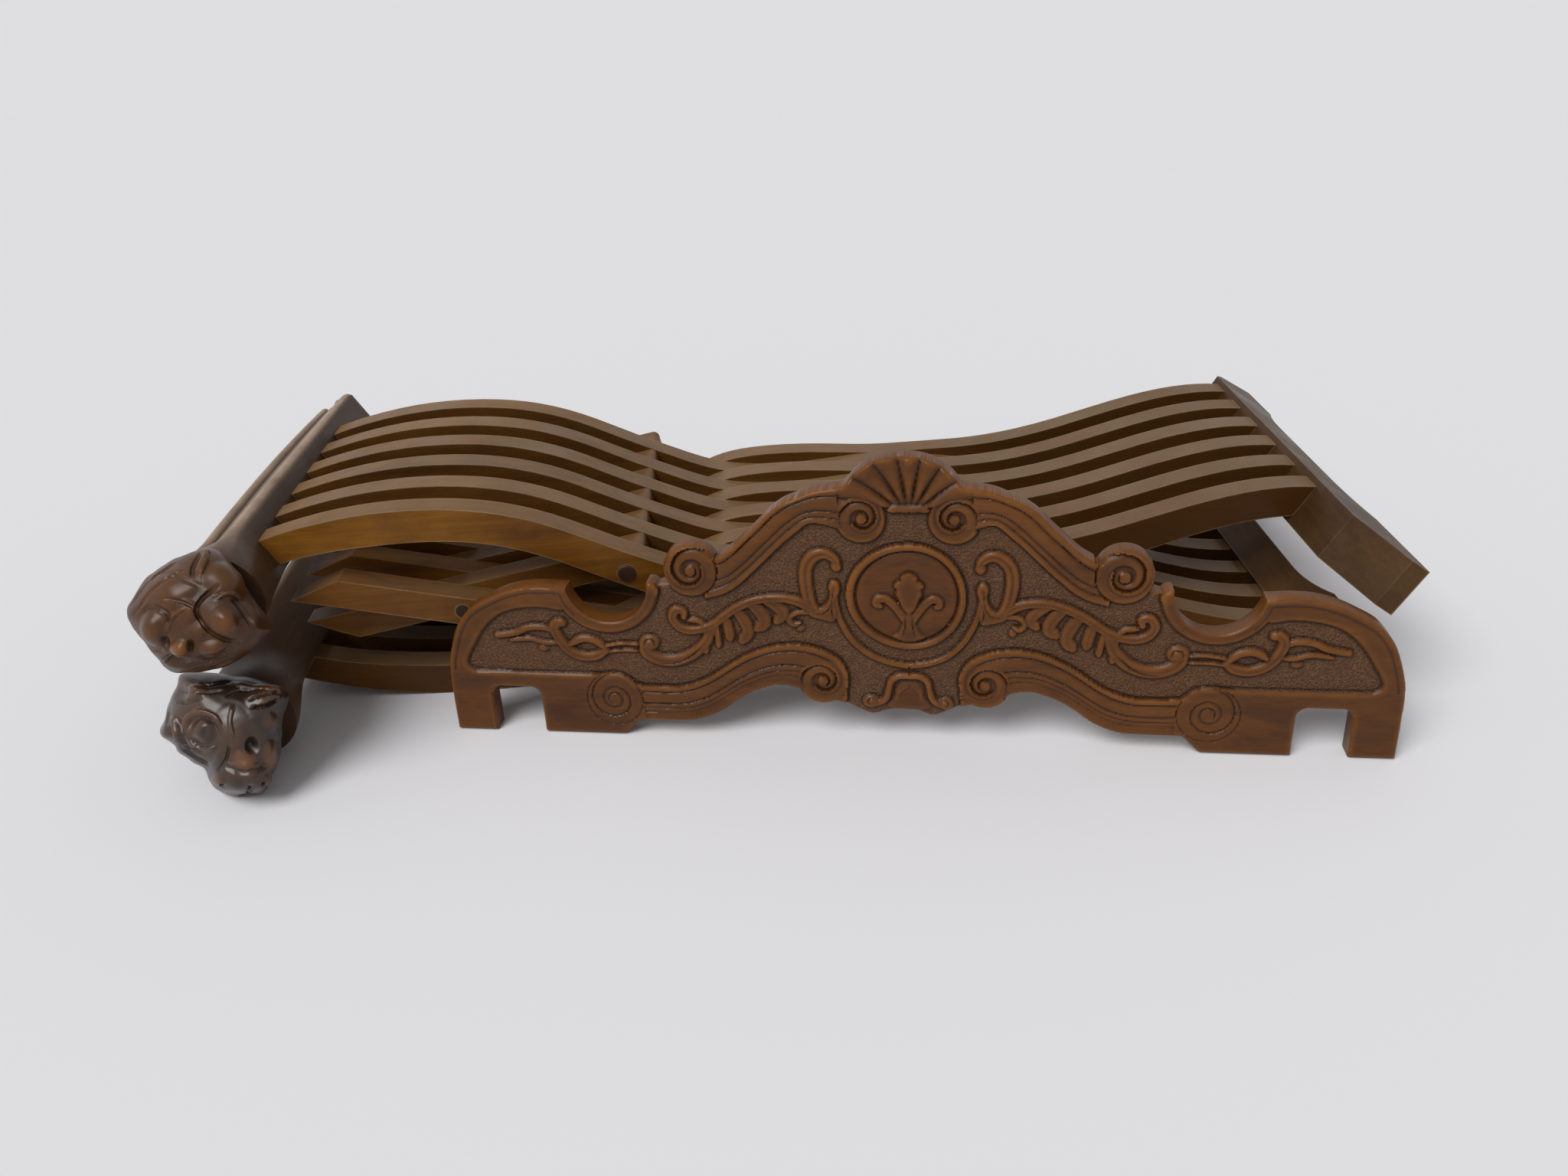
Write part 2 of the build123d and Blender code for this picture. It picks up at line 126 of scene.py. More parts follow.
class Nodes:
    """A short way to write the nodes of a material or of the world."""

    def __init__(self, owner):
        self.owner = owner
        owner.use_nodes = True
        self.tree = owner.node_tree

    def add(self, kind, **inputs):
        """A node with its inputs set, by name or by _number, to a value or another node's output."""
        node = self.tree.nodes.new(kind)
        for key, value in inputs.items():
            socket = int(key[1:]) if key[1:].isdigit() else key.replace("_", " ")
            self.put(node.inputs[socket], value)
        return node

    def put(self, socket, value):
        if isinstance(value, bpy.types.NodeSocket):
            self.tree.links.new(value, socket)
        else:
            socket.default_value = value

    def part(self, vector, axis):
        return self.add("ShaderNodeSeparateXYZ", Vector=vector).outputs[axis]

    def noise(self, vector, scale, detail=4.0, roughness=0.5, distortion=0.0):
        node = self.add("ShaderNodeTexNoise", Vector=vector, Scale=scale, Detail=detail,
                        Roughness=roughness, Distortion=distortion)
        return node.outputs["Fac"]

    def stretch(self, vector, scale, times=1):
        scale = [times * value for value in scale]
        return self.add("ShaderNodeMapping", Vector=vector, Scale=scale).outputs["Vector"]

    def ramp(self, value, low, high, bottom=0.0, top=1.0):
        """The value spread from low..high to bottom..top, cut off at both ends."""
        node = self.add("ShaderNodeMapRange", Value=value, From_Min=low, From_Max=high,
                        To_Min=bottom, To_Max=top)
        return node.outputs["Result"]

    def mix(self, factor, first, second):
        node = self.add("ShaderNodeMix", Factor=factor)
        node.data_type = "RGBA"
        for socket, value in ((node.inputs[6], first), (node.inputs[7], second)):
            self.put(socket, (*value, 1) if isinstance(value, tuple) else value)
        return node.outputs[2]

    def maths(self, operation, first, second=0.0):
        node = self.add("ShaderNodeMath", _0=first, _1=second)
        node.operation = operation
        return node.outputs[0]

    def times(self, first, second):
        return self.maths("MULTIPLY", first, second)

    def bump(self, height, distance, strength, normal=None):
        node = self.add("ShaderNodeBump", Height=height, Distance=distance, Strength=strength)
        if normal is not None:
            self.put(node.inputs["Normal"], normal)
        return node.outputs["Normal"]

    def finish(self, colour, roughness, normal=None, coat=0.0, coat_roughness=0.2, specular=0.5):
        shader = self.tree.nodes["Principled BSDF"].inputs
        for key, value in (("Base Color", colour), ("Roughness", roughness), ("Coat Weight", coat),
                           ("Coat Roughness", coat_roughness), ("Specular IOR Level", specular)):
            self.put(shader[key], value)
        if normal is not None:
            self.put(shader["Normal"], normal)
        return self.owner


def edge_wear_and_highlight(n):
    """How near a surface is to one of its own sharp edges, 0 to 1."""
    rounded = n.add("ShaderNodeBevel", Radius=EDGE_WIDTH).outputs["Normal"]
    plain = n.add("ShaderNodeNewGeometry").outputs["Normal"]
    dot = n.add("ShaderNodeVectorMath", _0=rounded, _1=plain)
    dot.operation = "DOT_PRODUCT"
    return n.ramp(dot.outputs["Value"], 0.995, 0.8)


def wood(name, dark, middle, light, grain=(5, 70, 70), coat=0.04, specular=0.16,
         edge=WORN_EDGE_AND_HIGHLIGHT, edge_share=0.75, foot_dark=0.0, painted_top_sheen=0.0, sole=0.0, between=0.0):
    """Old polished wood: long grain, pores, lighter and darker patches, dull dirt and pale edges of wear and
    painted highlight.

    It may darken towards the feet, take painted shade on faces between slats and a painted pale sheen on
    what faces up at rest, and be bare on the soles.
    """
    n = Nodes(bpy.data.materials.new(name))
    spots = n.add("ShaderNodeTexCoord").outputs
    place, facing = spots["Object"], spots["Normal"]
    bands = n.noise(n.stretch(place, grain), 1.6, 5.0, 0.55, 0.6)
    fibres = n.noise(n.stretch(place, grain, 4), 2.2, 6.0, 0.65)
    pores = n.ramp(n.noise(n.stretch(place, grain, 9), 3.0, 2.0), 0.62, 0.72)
    patches = n.noise(place, 7.0, 4.0, 0.6)
    colour = n.mix(n.ramp(bands, 0.32, 0.68), dark, middle)
    colour = n.mix(n.ramp(patches, 0.45, 0.72, 0.0, 0.75), colour, light)
    colour = n.mix(n.ramp(fibres, 0.35, 0.7, 0.0, 0.35), colour, dark)
    colour = n.mix(n.times(pores, 0.45), colour, DIRT)
    colour = n.mix(n.ramp(n.noise(place, 16.0, 6.0, 0.7), 0.5, 0.75, 0.0, 0.35), colour, DIRT)
    if foot_dark:
        colour = n.mix(n.ramp(n.part(place, "X"), -0.1, 0.3, 0.0, foot_dark), colour, dark)
    mottle = n.ramp(n.noise(place, 12.0, 6.0, 0.7), 0.35, 0.65, 0.55, 1.0)
    # Painted shade on the faces that look at the next slat.
    if between:
        aside = n.maths("ABSOLUTE", n.part(facing, "Y"))
        colour = n.mix(n.ramp(aside, 0.85, 0.98, 0.0, between), colour, GAP_SHADE)
    # Painted sheen: a pale colour on what faces up, standing in for the reflection of the pale air at a
    # grazing angle.
    if painted_top_sheen:
        upward = n.ramp(n.part(facing, "Z"), 0.5, 0.95, 0.0, painted_top_sheen)
        colour = n.mix(n.times(upward, mottle), colour, PAINTED_TOP_SHEEN)
    if sole:
        footward = n.ramp(n.part(facing, "X"), 0.7, 0.84, 0.0, sole)
        bare = n.times(footward, n.ramp(n.part(place, "Y"), -0.12, 0.08, 0.3, 1.0))
        colour = n.mix(n.times(bare, mottle), colour, BARE_WOOD)
    edge_patchiness = n.ramp(n.noise(place, 25.0, 5.0, 0.7), 0.35, 0.62, 0.25, 1.0)
    # Pale worn edges, partly a painted highlight such as a rounded edge would catch.
    worn = n.times(edge_wear_and_highlight(n), edge_patchiness)
    colour = n.mix(n.times(worn, edge_share), colour, edge)
    rough = n.ramp(n.noise(place, 22.0, 5.0, 0.6), 0.3, 0.7, WOOD_GLOSS - 0.08, WOOD_GLOSS + 0.14)
    normal = n.bump(fibres, 0.0006, 0.25, n.bump(patches, 0.004, 0.2))
    return n.finish(colour, rough, normal, coat, 0.22, specular)


def carved_wood(name, ground, flat, worn, deep, gloss, coat, stipple=0.0, grain=(5, 40, 40), specular=0.18):
    """Carved wood: the mesh's colours say where it gets painted shade (red), is ground (green) or is worn
    (blue).
    """
    n = Nodes(bpy.data.materials.new(name))
    place = n.add("ShaderNodeTexCoord").outputs["Object"]
    carving = n.add("ShaderNodeVertexColor")
    carving.layer_name = "carving"
    painted_shade, low, wear = n.add("ShaderNodeSeparateColor", Color=carving.outputs["Color"]).outputs
    bands = n.noise(n.stretch(place, grain), 1.8, 5.0, 0.6, 0.4)
    fibres = n.noise(n.stretch(place, grain, 5), 2.4, 5.0, 0.6)
    patches = n.noise(place, 11.0, 5.0, 0.6)
    colour = n.mix(n.ramp(bands, 0.3, 0.7, 0.0, 0.6), flat, deep)
    colour = n.mix(n.ramp(patches, 0.5, 0.75, 0.0, 0.35), colour, worn)
    colour = n.mix(n.times(low, 0.8), colour, ground)
    rub = n.times(wear, n.ramp(n.noise(place, 30.0, 4.0, 0.6), 0.25, 0.6, 0.35, 1.0))
    colour = n.mix(rub, colour, worn)
    colour = n.mix(n.ramp(fibres, 0.4, 0.75, 0.0, 0.25), colour, deep)
    rough = n.ramp(n.noise(place, 40.0, 4.0), 0.3, 0.7, gloss - 0.07, gloss + 0.12)
    rough = n.maths("ADD", rough, n.times(low, 0.12))
    normal = n.bump(fibres, 0.0005, 0.25)
    if stipple:
        dots = n.add("ShaderNodeTexVoronoi", Vector=place, Scale=620.0).outputs["Distance"]
        dots = n.times(n.ramp(dots, 0.1, 0.6), low)
        normal = n.bump(dots, stipple, 0.9, normal)
        speck = n.ramp(n.noise(place, 800.0, 2.0), 0.5, 0.66, 0.0, 0.3)
        # Painted shade in the punched pits of the ground.
        colour = n.mix(n.times(n.maths("SUBTRACT", low, dots), 0.4), colour, deep)
        colour = n.mix(n.times(speck, low), colour, PALE_SPECK)
    # Painted shade: the deep colour where the red channel asks for it.
    colour = n.mix(painted_shade, colour, deep)
    return n.finish(colour, rough, normal, coat, 0.28, specular)


# ---- curves and distances in a plane ----

def smooth(points, steps=6):
    """A smooth curve through the points, as a fine polyline."""
    path = np.array(points, float)
    path = np.vstack([2 * path[0] - path[1], path, 2 * path[-1] - path[-2]])
    t = np.linspace(0, 1, steps, endpoint=False)[:, None]
    parts = []
    for a, b, c, d in zip(path, path[1:], path[2:], path[3:]):
        parts.append(b + t * (c - a) / 2 + t ** 2 * (2 * a - 5 * b + 4 * c - d) / 2
                     + t ** 3 * (3 * b - a - 3 * c + d) / 2)
    return np.vstack([*parts, path[-2:-1]])


def to_curve(x, y, curve):
    """Distance to a polyline, and the share of its length where the nearest point lies."""
    nearest, share = np.full(x.shape, 1e9), np.zeros(x.shape)
    steps = np.diff(curve, axis=0)
    lengths = np.maximum(np.hypot(*steps.T), 1e-6)
    starts = np.concatenate([[0], np.cumsum(lengths)])
    for (px, py), (dx, dy), length, start in zip(curve, steps, lengths, starts):
        t = np.clip(((x - px) * dx + (y - py) * dy) / length ** 2, 0, 1)
        distance = np.hypot(x - px - t * dx, y - py - t * dy)
        closer = distance < nearest
        nearest[closer] = distance[closer]
        share[closer] = (start + t[closer] * length) / starts[-1]
    return nearest, share


def within(x, y, polygon):
    """Whether each point lies inside a closed polygon."""
    inside = np.zeros(x.shape, bool)
    for (x1, y1), (x2, y2) in zip(polygon, np.roll(polygon, -1, axis=0)):
        if y1 != y2:
            crosses = (y1 > y) != (y2 > y)
            inside ^= crosses & (x < (x2 - x1) * (y - y1) / (y2 - y1) + x1)
    return inside


def turned(x, y, angle):
    """A place as seen from axes that are turned by an angle."""
    c, s = math.cos(math.radians(angle)), math.sin(math.radians(angle))
    return x * c + y * s, y * c - x * s


def dome(distance, radius):
    """1 in the middle, falling as a ball does to 0 at the radius."""
    return np.sqrt(np.clip(1 - (distance / np.maximum(radius, 1e-3)) ** 2, 0, 1))


def bell(distance, width):
    """1 in the middle, fading out over about twice the width."""
    return np.exp(-(distance / width) ** 2)


# ---- back panel: outline ----

PANEL_FROM_PIVOT = (-8.6, -212.25)
PANEL_YAW, PANEL_LEAN = 9.5, 4.0
PANEL_THICKNESS, PANEL_RELIEF = 16.0, 4.0
PANEL_HALF, PANEL_HEIGHT = 341.0, 221.0
GRID_STEP = 0.9
EDGE_ROUND = 1.3             # how far the front is rounded back at its edge
LOW_HEIGHT = 0.9             # under which the carving counts as its ground
SHADE_SPAN, WEAR_SPAN = 1.4, 3.2      # how far around a point its height is compared

LOWER_EDGE = [(0, 26.5), (11, 26), (22, 22.5), (33, 27), (41, 31), (58, 36), (76, 42.5), (91, 44.5),
              (109.5, 38), (122, 30), (134, 21), (146, 15.5), (157, 13), (175, 12.5), (196, 12.5)]
END_EDGE = [(341, 23.5), (340, 52), (337, 66), (331, 83), (325, 93.5), (316, 103), (303, 110.5),
            (290, 116.5), (275, 120.5), (260, 121.5), (242, 120.5)]
UPPER_EDGE = [(129, 146.5), (119.5, 152.5), (110, 161.5), (100, 171), (91.5, 180), (82, 187), (73, 191),
              (61, 196), (50, 198), (40, 200), (32, 209), (23, 215.5), (13, 219.5), (0, 221)]
BLOCK_CORNER = (209, 0)
DIP = [(182, 120.5), (171, 124.5), (140, 124.5)]
SHOULDER_VOLUTE, UPPER_VOLUTE = ((149, 135.5), 20.0), ((35, 176), 18.0)
INNER_VOLUTE, OUTER_VOLUTE, CURL = ((58, 49), 18.5), ((212.5, 31), 22.0), ((180, 120), 6.5)
BITE_CENTRE, BITE_RADIUS = (212, 124.2), 30.2
NOTCH_SIDE, NOTCH_HALF, NOTCH_TOP, NOTCH_CORNER = 290.2, 19.0, 38.0, 8.0

half_outline = np.vstack([smooth(LOWER_EDGE), [BLOCK_CORNER, (PANEL_HALF, 0)], smooth(END_EDGE), DIP,
                          smooth(UPPER_EDGE)])


def panel_reach(x, v):
    """How far each point lies inside the panel's outline, and less than zero outside it."""
    x = np.abs(x)
    distance = to_curve(x, v, half_outline)[0]
    reach = np.where(within(x, v, half_outline), distance, -distance)
    for (side, height), radius in (SHOULDER_VOLUTE, INNER_VOLUTE, CURL):
        reach = np.maximum(reach, radius - np.hypot(x - side, v - height))
    bite = np.hypot(x - BITE_CENTRE[0], v - BITE_CENTRE[1]) - BITE_RADIUS
    across = np.abs(x - NOTCH_SIDE) - NOTCH_HALF + NOTCH_CORNER
    above = v - NOTCH_TOP + NOTCH_CORNER
    notch = np.hypot(np.maximum(across, 0), np.maximum(above, 0)) + np.minimum(np.maximum(across, above), 0)
    return np.minimum(reach, np.minimum(bite, notch - NOTCH_CORNER))


# ---- back panel: carving ----

# The real carving isn't quite the same on both sides. The shield and the shell lie right of the
# middle, and some leaves, scrolls and volutes lie nearer to it than in a drawing for both halves:
# by how much at most, at which place, and how far from there.
SHIELD_SHIFT, SHIELD_SPREAD, LEFT_VOLUTE_SHIFT = 4.5, 48.0, 8.5
LEFT_LEAVES = [(1.5, (120, 100), (200, 200)), (9.5, (60, 128), (30, 30)), (5.5, (160, 95), (38, 20)),
               (3.5, (230, 78), (45, 18))]
LEFT_BAND_END, RIGHT_SCROLL = [(6.0, (35, 176), (18, 16))], [(5.0, (64, 128), (24, 24))]
MIDDLE_SPREAD = 10.0         # over which such a shift begins


class Carving:
    """Heights over the panel's ground at points (x from its middle, v up)."""

    def __init__(self, x, v, reach):
        self.x, self.v, self.reach = x, v, reach
        self.height = np.zeros(x.shape)

    def around(self, curve, margin):
        """The places in the box that holds a curve and a margin."""
        low, high = np.min(curve, axis=0) - margin, np.max(curve, axis=0) + margin
        return np.nonzero((self.x > low[0]) & (self.x < high[0])
                          & (self.v > low[1]) & (self.v < high[1]))[0]

    def along(self, points, width):
        """The places near a smooth line, their distance to it and their share of its length."""
        curve = smooth(points)
        at = self.around(curve, width)
        return at, *to_curve(self.x[at], self.v[at], curve)

    def about(self, centre, radius):
        """The places near a centre, and where they lie from it."""
        at = self.around(np.array([centre]), radius)
        return at, self.x[at] - centre[0], self.v[at] - centre[1]

    def raise_to(self, at, height):
        self.height[at] = np.maximum(self.height[at], height)

    def stroke(self, points, width, height, base=0.0, ends=(0.25, 0.25), tip=0.3, groove=0.0):
        """A rounded strand along the points that thins to a share of its width at its ends."""
        at, distance, share = self.along(points, width)
        thin = np.minimum(np.minimum(share / max(ends[0], 1e-3), (1 - share) / max(ends[1], 1e-3)), 1)
        half = width / 2 * (tip + (1 - tip) * np.sin(thin * math.pi / 2))
        strand = dome(distance, half)
        rise = base + height * strand - groove * bell(distance, 0.16 * width) * (strand > 0)
        keep = strand > 0
        self.raise_to(at[keep], rise[keep])

    def cut(self, points, width, depth):
        """A rounded groove along the points."""
        at, distance, share = self.along(points, width)
        fade = np.sqrt(np.clip(4 * share * (1 - share), 0, 1))
        self.height[at] -= depth * dome(distance, width / 2) * fade

    def bead(self, centre, size, height, turn=0.0, base=0.0):
        """An oval boss."""
        size = np.array(size if isinstance(size, tuple) else (size, size), float)
        at, dx, dv = self.about(centre, size.max())
        dx, dv = turned(dx, dv, turn)
        rise = dome(np.hypot(dx / size[0], dv / size[1]), 1.0)
        keep = rise > 0
        self.raise_to(at[keep], base + height * rise[keep])

    def volute(self, centre, radius, turns, hand, start, height=3.7, merged=False, flat=False):
        """A spiral scroll with a boss in its eye. Its groove starts at this angle on its border."""
        at, dx, dv = self.about(centre, radius)
        r, angle = np.hypot(dx, dv), np.arctan2(dv, dx) - math.radians(start)
        tightness = math.log(4.6) / (2 * math.pi * turns)
        coil = np.log(radius / np.maximum(r, 0.1)) / tightness / (2 * math.pi)
        coil -= (hand * angle / (2 * math.pi)) % 1
        across = coil - np.floor(coil)
        width = r * (1 - math.exp(-2 * math.pi * tightness))
        groove = bell(np.minimum(across, 1 - across) * width, 0.9 if flat else 1.3)
        groove *= (coil > -0.02) & (r > 0.2 * radius)
        line = bell((across - 0.72) * width, 0.7) * (r > 0.35 * radius)
        if flat:
            rise = height - groove - bell(radius - r, 0.9)
        else:
            rise = height * (0.8 + 0.2 * (2 * across - 1) ** 2) - 2.6 * groove - 0.6 * line
            rise = np.maximum(rise, height * 0.98 * dome(r, 0.24 * radius))
            rise *= np.clip((radius - r) / 1.6, 0, 1) ** 0.5
        keep = r < radius
        rise = np.where((r > radius - 3) & merged, np.maximum(rise, self.height[at]), rise)
        self.height[at[keep]] = rise[keep]

    def band(self, outer, inner, profile):
        """Between two curves: the profile gives the height from the share across, 0 at outer."""
        outer, inner = smooth(outer), smooth(inner)
        at = self.around(np.vstack([outer, inner]), 3)
        keep = within(self.x[at], self.v[at], np.vstack([outer, inner[::-1]]))
        at = at[keep]
        first, second = (to_curve(self.x[at], self.v[at], curve)[0] for curve in (outer, inner))
        self.raise_to(at, profile(first / np.maximum(first + second, 1e-6)))

    def leaf(self, outline, height, veins=(), vein_width=1.6, vein_depth=0.9, soft=3.0, base=0.0):
        """A rounded leaf inside an outline, with veins cut into it."""
        outline = smooth([*outline, outline[0]])
        at = self.around(outline, 1)
        at = at[within(self.x[at], self.v[at], outline)]
        distance = to_curve(self.x[at], self.v[at], outline)[0]
        self.raise_to(at, base + height * (1 - np.clip(1 - distance / soft, 0, 1) ** 2) ** 0.5)
        for vein in veins:
            self.cut(vein, vein_width, vein_depth)


UPPER_BAND_OUTER = [(38, 200), *UPPER_EDGE[8::-1], (140, 146)]
UPPER_BAND_INNER = [(42, 166), (51, 170), (62, 172), (71, 165), (82, 155), (93, 144), (105, 132.5),
                    (116, 123), (127, 117), (140, 113.5)]
LOWER_BAND_INNER = [(39, 55), (44, 66), (53, 73), (66, 77.5), (80, 78.5), (94, 76.5), (106, 72),
                    (118, 65.5), (130, 57), (140, 50), (152, 44.7), (164, 42), (180, 42), (196, 43)]
LOWER_BAND_OUTER = LOWER_EDGE[4:]
FIELD_FLOOR, FIELD_START, BLOCK_START, BORDER_START, BAND_END = 51.8, 229.0, 203.0, 236.0, 190.0
FIELD_EDGE = [(319, 51.8), (324, 56), (323, 62), (317, 72), (309, 84), (300, 93.5), (290, 100), (276, 104),
              (260, 105), (246, 103), (238, 108)]

BITE_RIDGE = 8.5             # width of the ridge round the bite
SHELL_ROOT, SHELL_HALF, SHELL_SPREAD, SHELL_RIBS = 176.0, 46.0, 1.22, 10.4
SHIELD_CENTRE, SHIELD_SIZE = (0.5, 118.0), (41.5, 40.5)
SHIELD_RIM, RIM_MIDDLE, SHIELD_FLOOR = 0.855, 0.93, 1.2       # shares of its size, and height


def ridges(*parts):
    """A profile made of (start, end, base, rise) parts, each a rounded moulding."""
    def profile(share):
        height = np.zeros(share.shape)
        for start, end, base, rise in parts:
            middle, half = (start + end) / 2, (end - start) / 2
            here = np.abs(share - middle) <= half
            height[here] = base + rise * dome(share[here] - middle, half)
        return height
    return profile


def carve_upper_band(c):
    c.band(UPPER_BAND_OUTER, UPPER_BAND_INNER,
           ridges((0, 0.2, 2.2, 1.4), (0.2, 0.62, 1.2, 2.4), (0.62, 0.8, 1.2, 1.6), (0.8, 1, 1.6, 1.7)))


def carve_lower_band(c):
    c.band(LOWER_BAND_INNER, LOWER_BAND_OUTER,
           ridges((0, 0.16, 2, 1.4), (0.16, 0.5, 1, 2.5), (0.5, 0.62, 1.6, 1.3), (0.62, 0.74, 1.4, 1.3),
                  (0.74, 1, 2.2, 0.4)))


def carve_upper_volute(c):
    c.volute(*UPPER_VOLUTE, 1.45, 1, -28, merged=True)


def carve_volutes(c):
    c.volute(*SHOULDER_VOLUTE, 1.6, -1, 150)
    c.volute(*INNER_VOLUTE, 1.5, 1, -35, merged=True)
    c.volute(*OUTER_VOLUTE, 2.1, -1, 110, height=3.2, flat=True)
    c.bead(*CURL, 1.6, base=2.4)


def carve_ends(c):
    """The plain end of the panel: its block, border and the ridge round the bite."""
    bite = np.hypot(c.x - BITE_CENTRE[0], c.v - BITE_CENTRE[1]) - BITE_RADIUS
    field = smooth(FIELD_EDGE)
    floor = (c.v < FIELD_FLOOR) & (c.x > BLOCK_START)
    floor |= (c.v < LOWER_BAND_INNER[-1][1]) & (c.x > BAND_END)
    field_area = np.vstack([[(200, FIELD_FLOOR)], field, [(200, 112)]])
    border = (c.x > BORDER_START) & ~within(c.x, c.v, field_area)
    at = np.nonzero(floor | border)[0]
    edge = np.minimum(to_curve(c.x[at], c.v[at], np.vstack([[(FIELD_START, FIELD_FLOOR)], field]))[0],
                      c.reach[at] + 1)
    c.raise_to(at, 3.1 * np.clip(edge / 2.2, 0, 1) ** 0.5)
    at = np.nonzero((bite < BITE_RIDGE) & (c.v < 121) & (c.x > 172) & (c.x < 262))[0]
    c.raise_to(at, 3.4 * np.clip((BITE_RIDGE - bite[at]) / 2.5, 0, 1) ** 0.5)
    at = np.nonzero((c.x > BORDER_START) & (c.v > FIELD_FLOOR))[0]
    c.height[at] -= 0.7 * bell(c.reach[at] - 5, 0.9)


def carve_shell(c):
    """The shell on the crest, the bar under it and its pearls."""
    r = np.hypot(c.x, c.v - SHELL_ROOT)
    angle = np.arctan2(c.x, c.v - SHELL_ROOT) * (1 - 0.16 * np.clip(r / 45, 0, 1))
    at = np.nonzero((c.v > 185) & (c.x < SHELL_HALF) & (np.abs(angle) < SHELL_SPREAD) & (r > 9))[0]
    ribs = np.abs(np.cos(angle[at] * SHELL_RIBS)) ** 0.75
    share = np.clip((r[at] - 9) / 12, 0, 1)
    c.height[at] = 0.7 + (0.2 + 3 * ribs) * share * np.clip(c.reach[at] / 1.4 + 0.4, 0, 1)
    c.stroke([(0, 183.5), (8, 184), (13, 183)], 6.5, 3.6, ends=(0, 0.2), tip=0.6)
    c.bead((0, 217), 3.6, 1.8, base=2.9)
    c.bead((28, 207.5), 2.8, 1.4, base=2.9)


def carve_medallion(c):
    """The round shield: its rim, its dished field and the lily on it."""
    r = np.hypot((c.x - SHIELD_CENTRE[0]) / SHIELD_SIZE[0], (c.v - SHIELD_CENTRE[1]) / SHIELD_SIZE[1])
    at = np.nonzero(r < 1)[0]
    rim = 2.9 * dome(r[at] - RIM_MIDDLE, 1.005 - RIM_MIDDLE)
    dish = 0.9 * (r[at] / 0.86) ** 2
    c.height[at] = SHIELD_FLOOR + np.where(r[at] > SHIELD_RIM, rim, dish)
    c.height[at] -= 1.2 * np.exp(-((r[at] - 0.85) * 40) ** 2)
    c.leaf([(0, 137), (4, 136), (6.5, 133.4), (6.2, 131.6), (9, 130), (10.4, 127), (9, 124.8), (10, 121),
            (8.2, 116), (5.5, 110), (0, 105), (-4, 109), (-7, 120), (-8, 130), (-4, 136)],
           3.2, base=1.7, soft=4)
    c.bead((0, 134.5), 3.2, 1.2, base=3.4)
    c.bead((8.2, 127), 2.4, 1.1, base=3)
    c.stroke([(1.5, 99), (6, 106), (10.5, 112), (16, 116.5), (21, 116), (22, 112.5), (19.5, 111)], 6.6, 2.6,
             base=1.6, ends=(0.1, 0.12), tip=0.6, groove=0.5)
    c.leaf([(0, 109), (4, 104), (5, 98), (7.5, 91.5), (12, 87.5), (6, 84), (0, 83), (-6, 84), (-8, 92),
            (-4, 104)], 2.2, base=1.6, soft=3.5)
    c.cut([(4.5, 109), (6.8, 115), (8.6, 120.5), (9.5, 124)], 1.4, 1)
    c.cut([(2.4, 104), (2.6, 96), (4.6, 88)], 1.3, 0.9)


def carve_middle(c):
    """Ridges round the shield, the C-scrolls beside it and the cartouche under it."""
    c.stroke([(57, 126), (56.5, 117), (53.5, 107), (48, 95.5), (39.5, 82), (28, 71.5), (15, 66), (0, 63.5)],
             5, 3, ends=(0.1, 0), groove=0.7)
    c.leaf([(53.5, 118), (52.5, 123.5), (55, 129), (60, 129.5), (63, 125), (61.5, 118.5), (62.5, 112),
            (67, 108), (74, 107), (72, 101), (63, 98), (54, 97), (52, 105), (55, 112)], 3.4,
           veins=[[(58.5, 126), (58.5, 117), (59, 109), (63, 104), (70, 103.5)],
                  [(54, 99), (57, 106), (57, 114)]])
    c.stroke([(53.5, 140), (55.5, 146), (62, 149.5), (70, 147), (76.5, 139.5), (78.5, 129), (76.5, 118),
              (72.5, 109.5), (66, 103)], 8.6, 3.9, ends=(0.12, 0.35), tip=0.75, groove=1)
    c.bead((55, 140.5), (4.4, 5.2), 3.6, turn=20)
    c.stroke([(0, 55.5), (8, 55), (13.5, 50.5), (15.2, 43.5), (17.5, 36.5), (23, 32)], 5.6, 3.6,
             ends=(0, 0.1), tip=0.7)
    c.bead((27.5, 33.5), (6.2, 5.4), 3.8)
    c.leaf([(0, 50), (7, 49), (10.5, 43), (12, 36), (17, 30), (10, 27.6), (0, 28.5), (-8, 30)], 1.5, soft=3)
    c.stroke([(2, 47), (7.5, 42), (9, 35)], 2.4, 1, base=1.1)
    c.cut([(24, 35), (27.5, 36.5), (30, 33.5), (27, 31.5)], 1.4, 1.1)


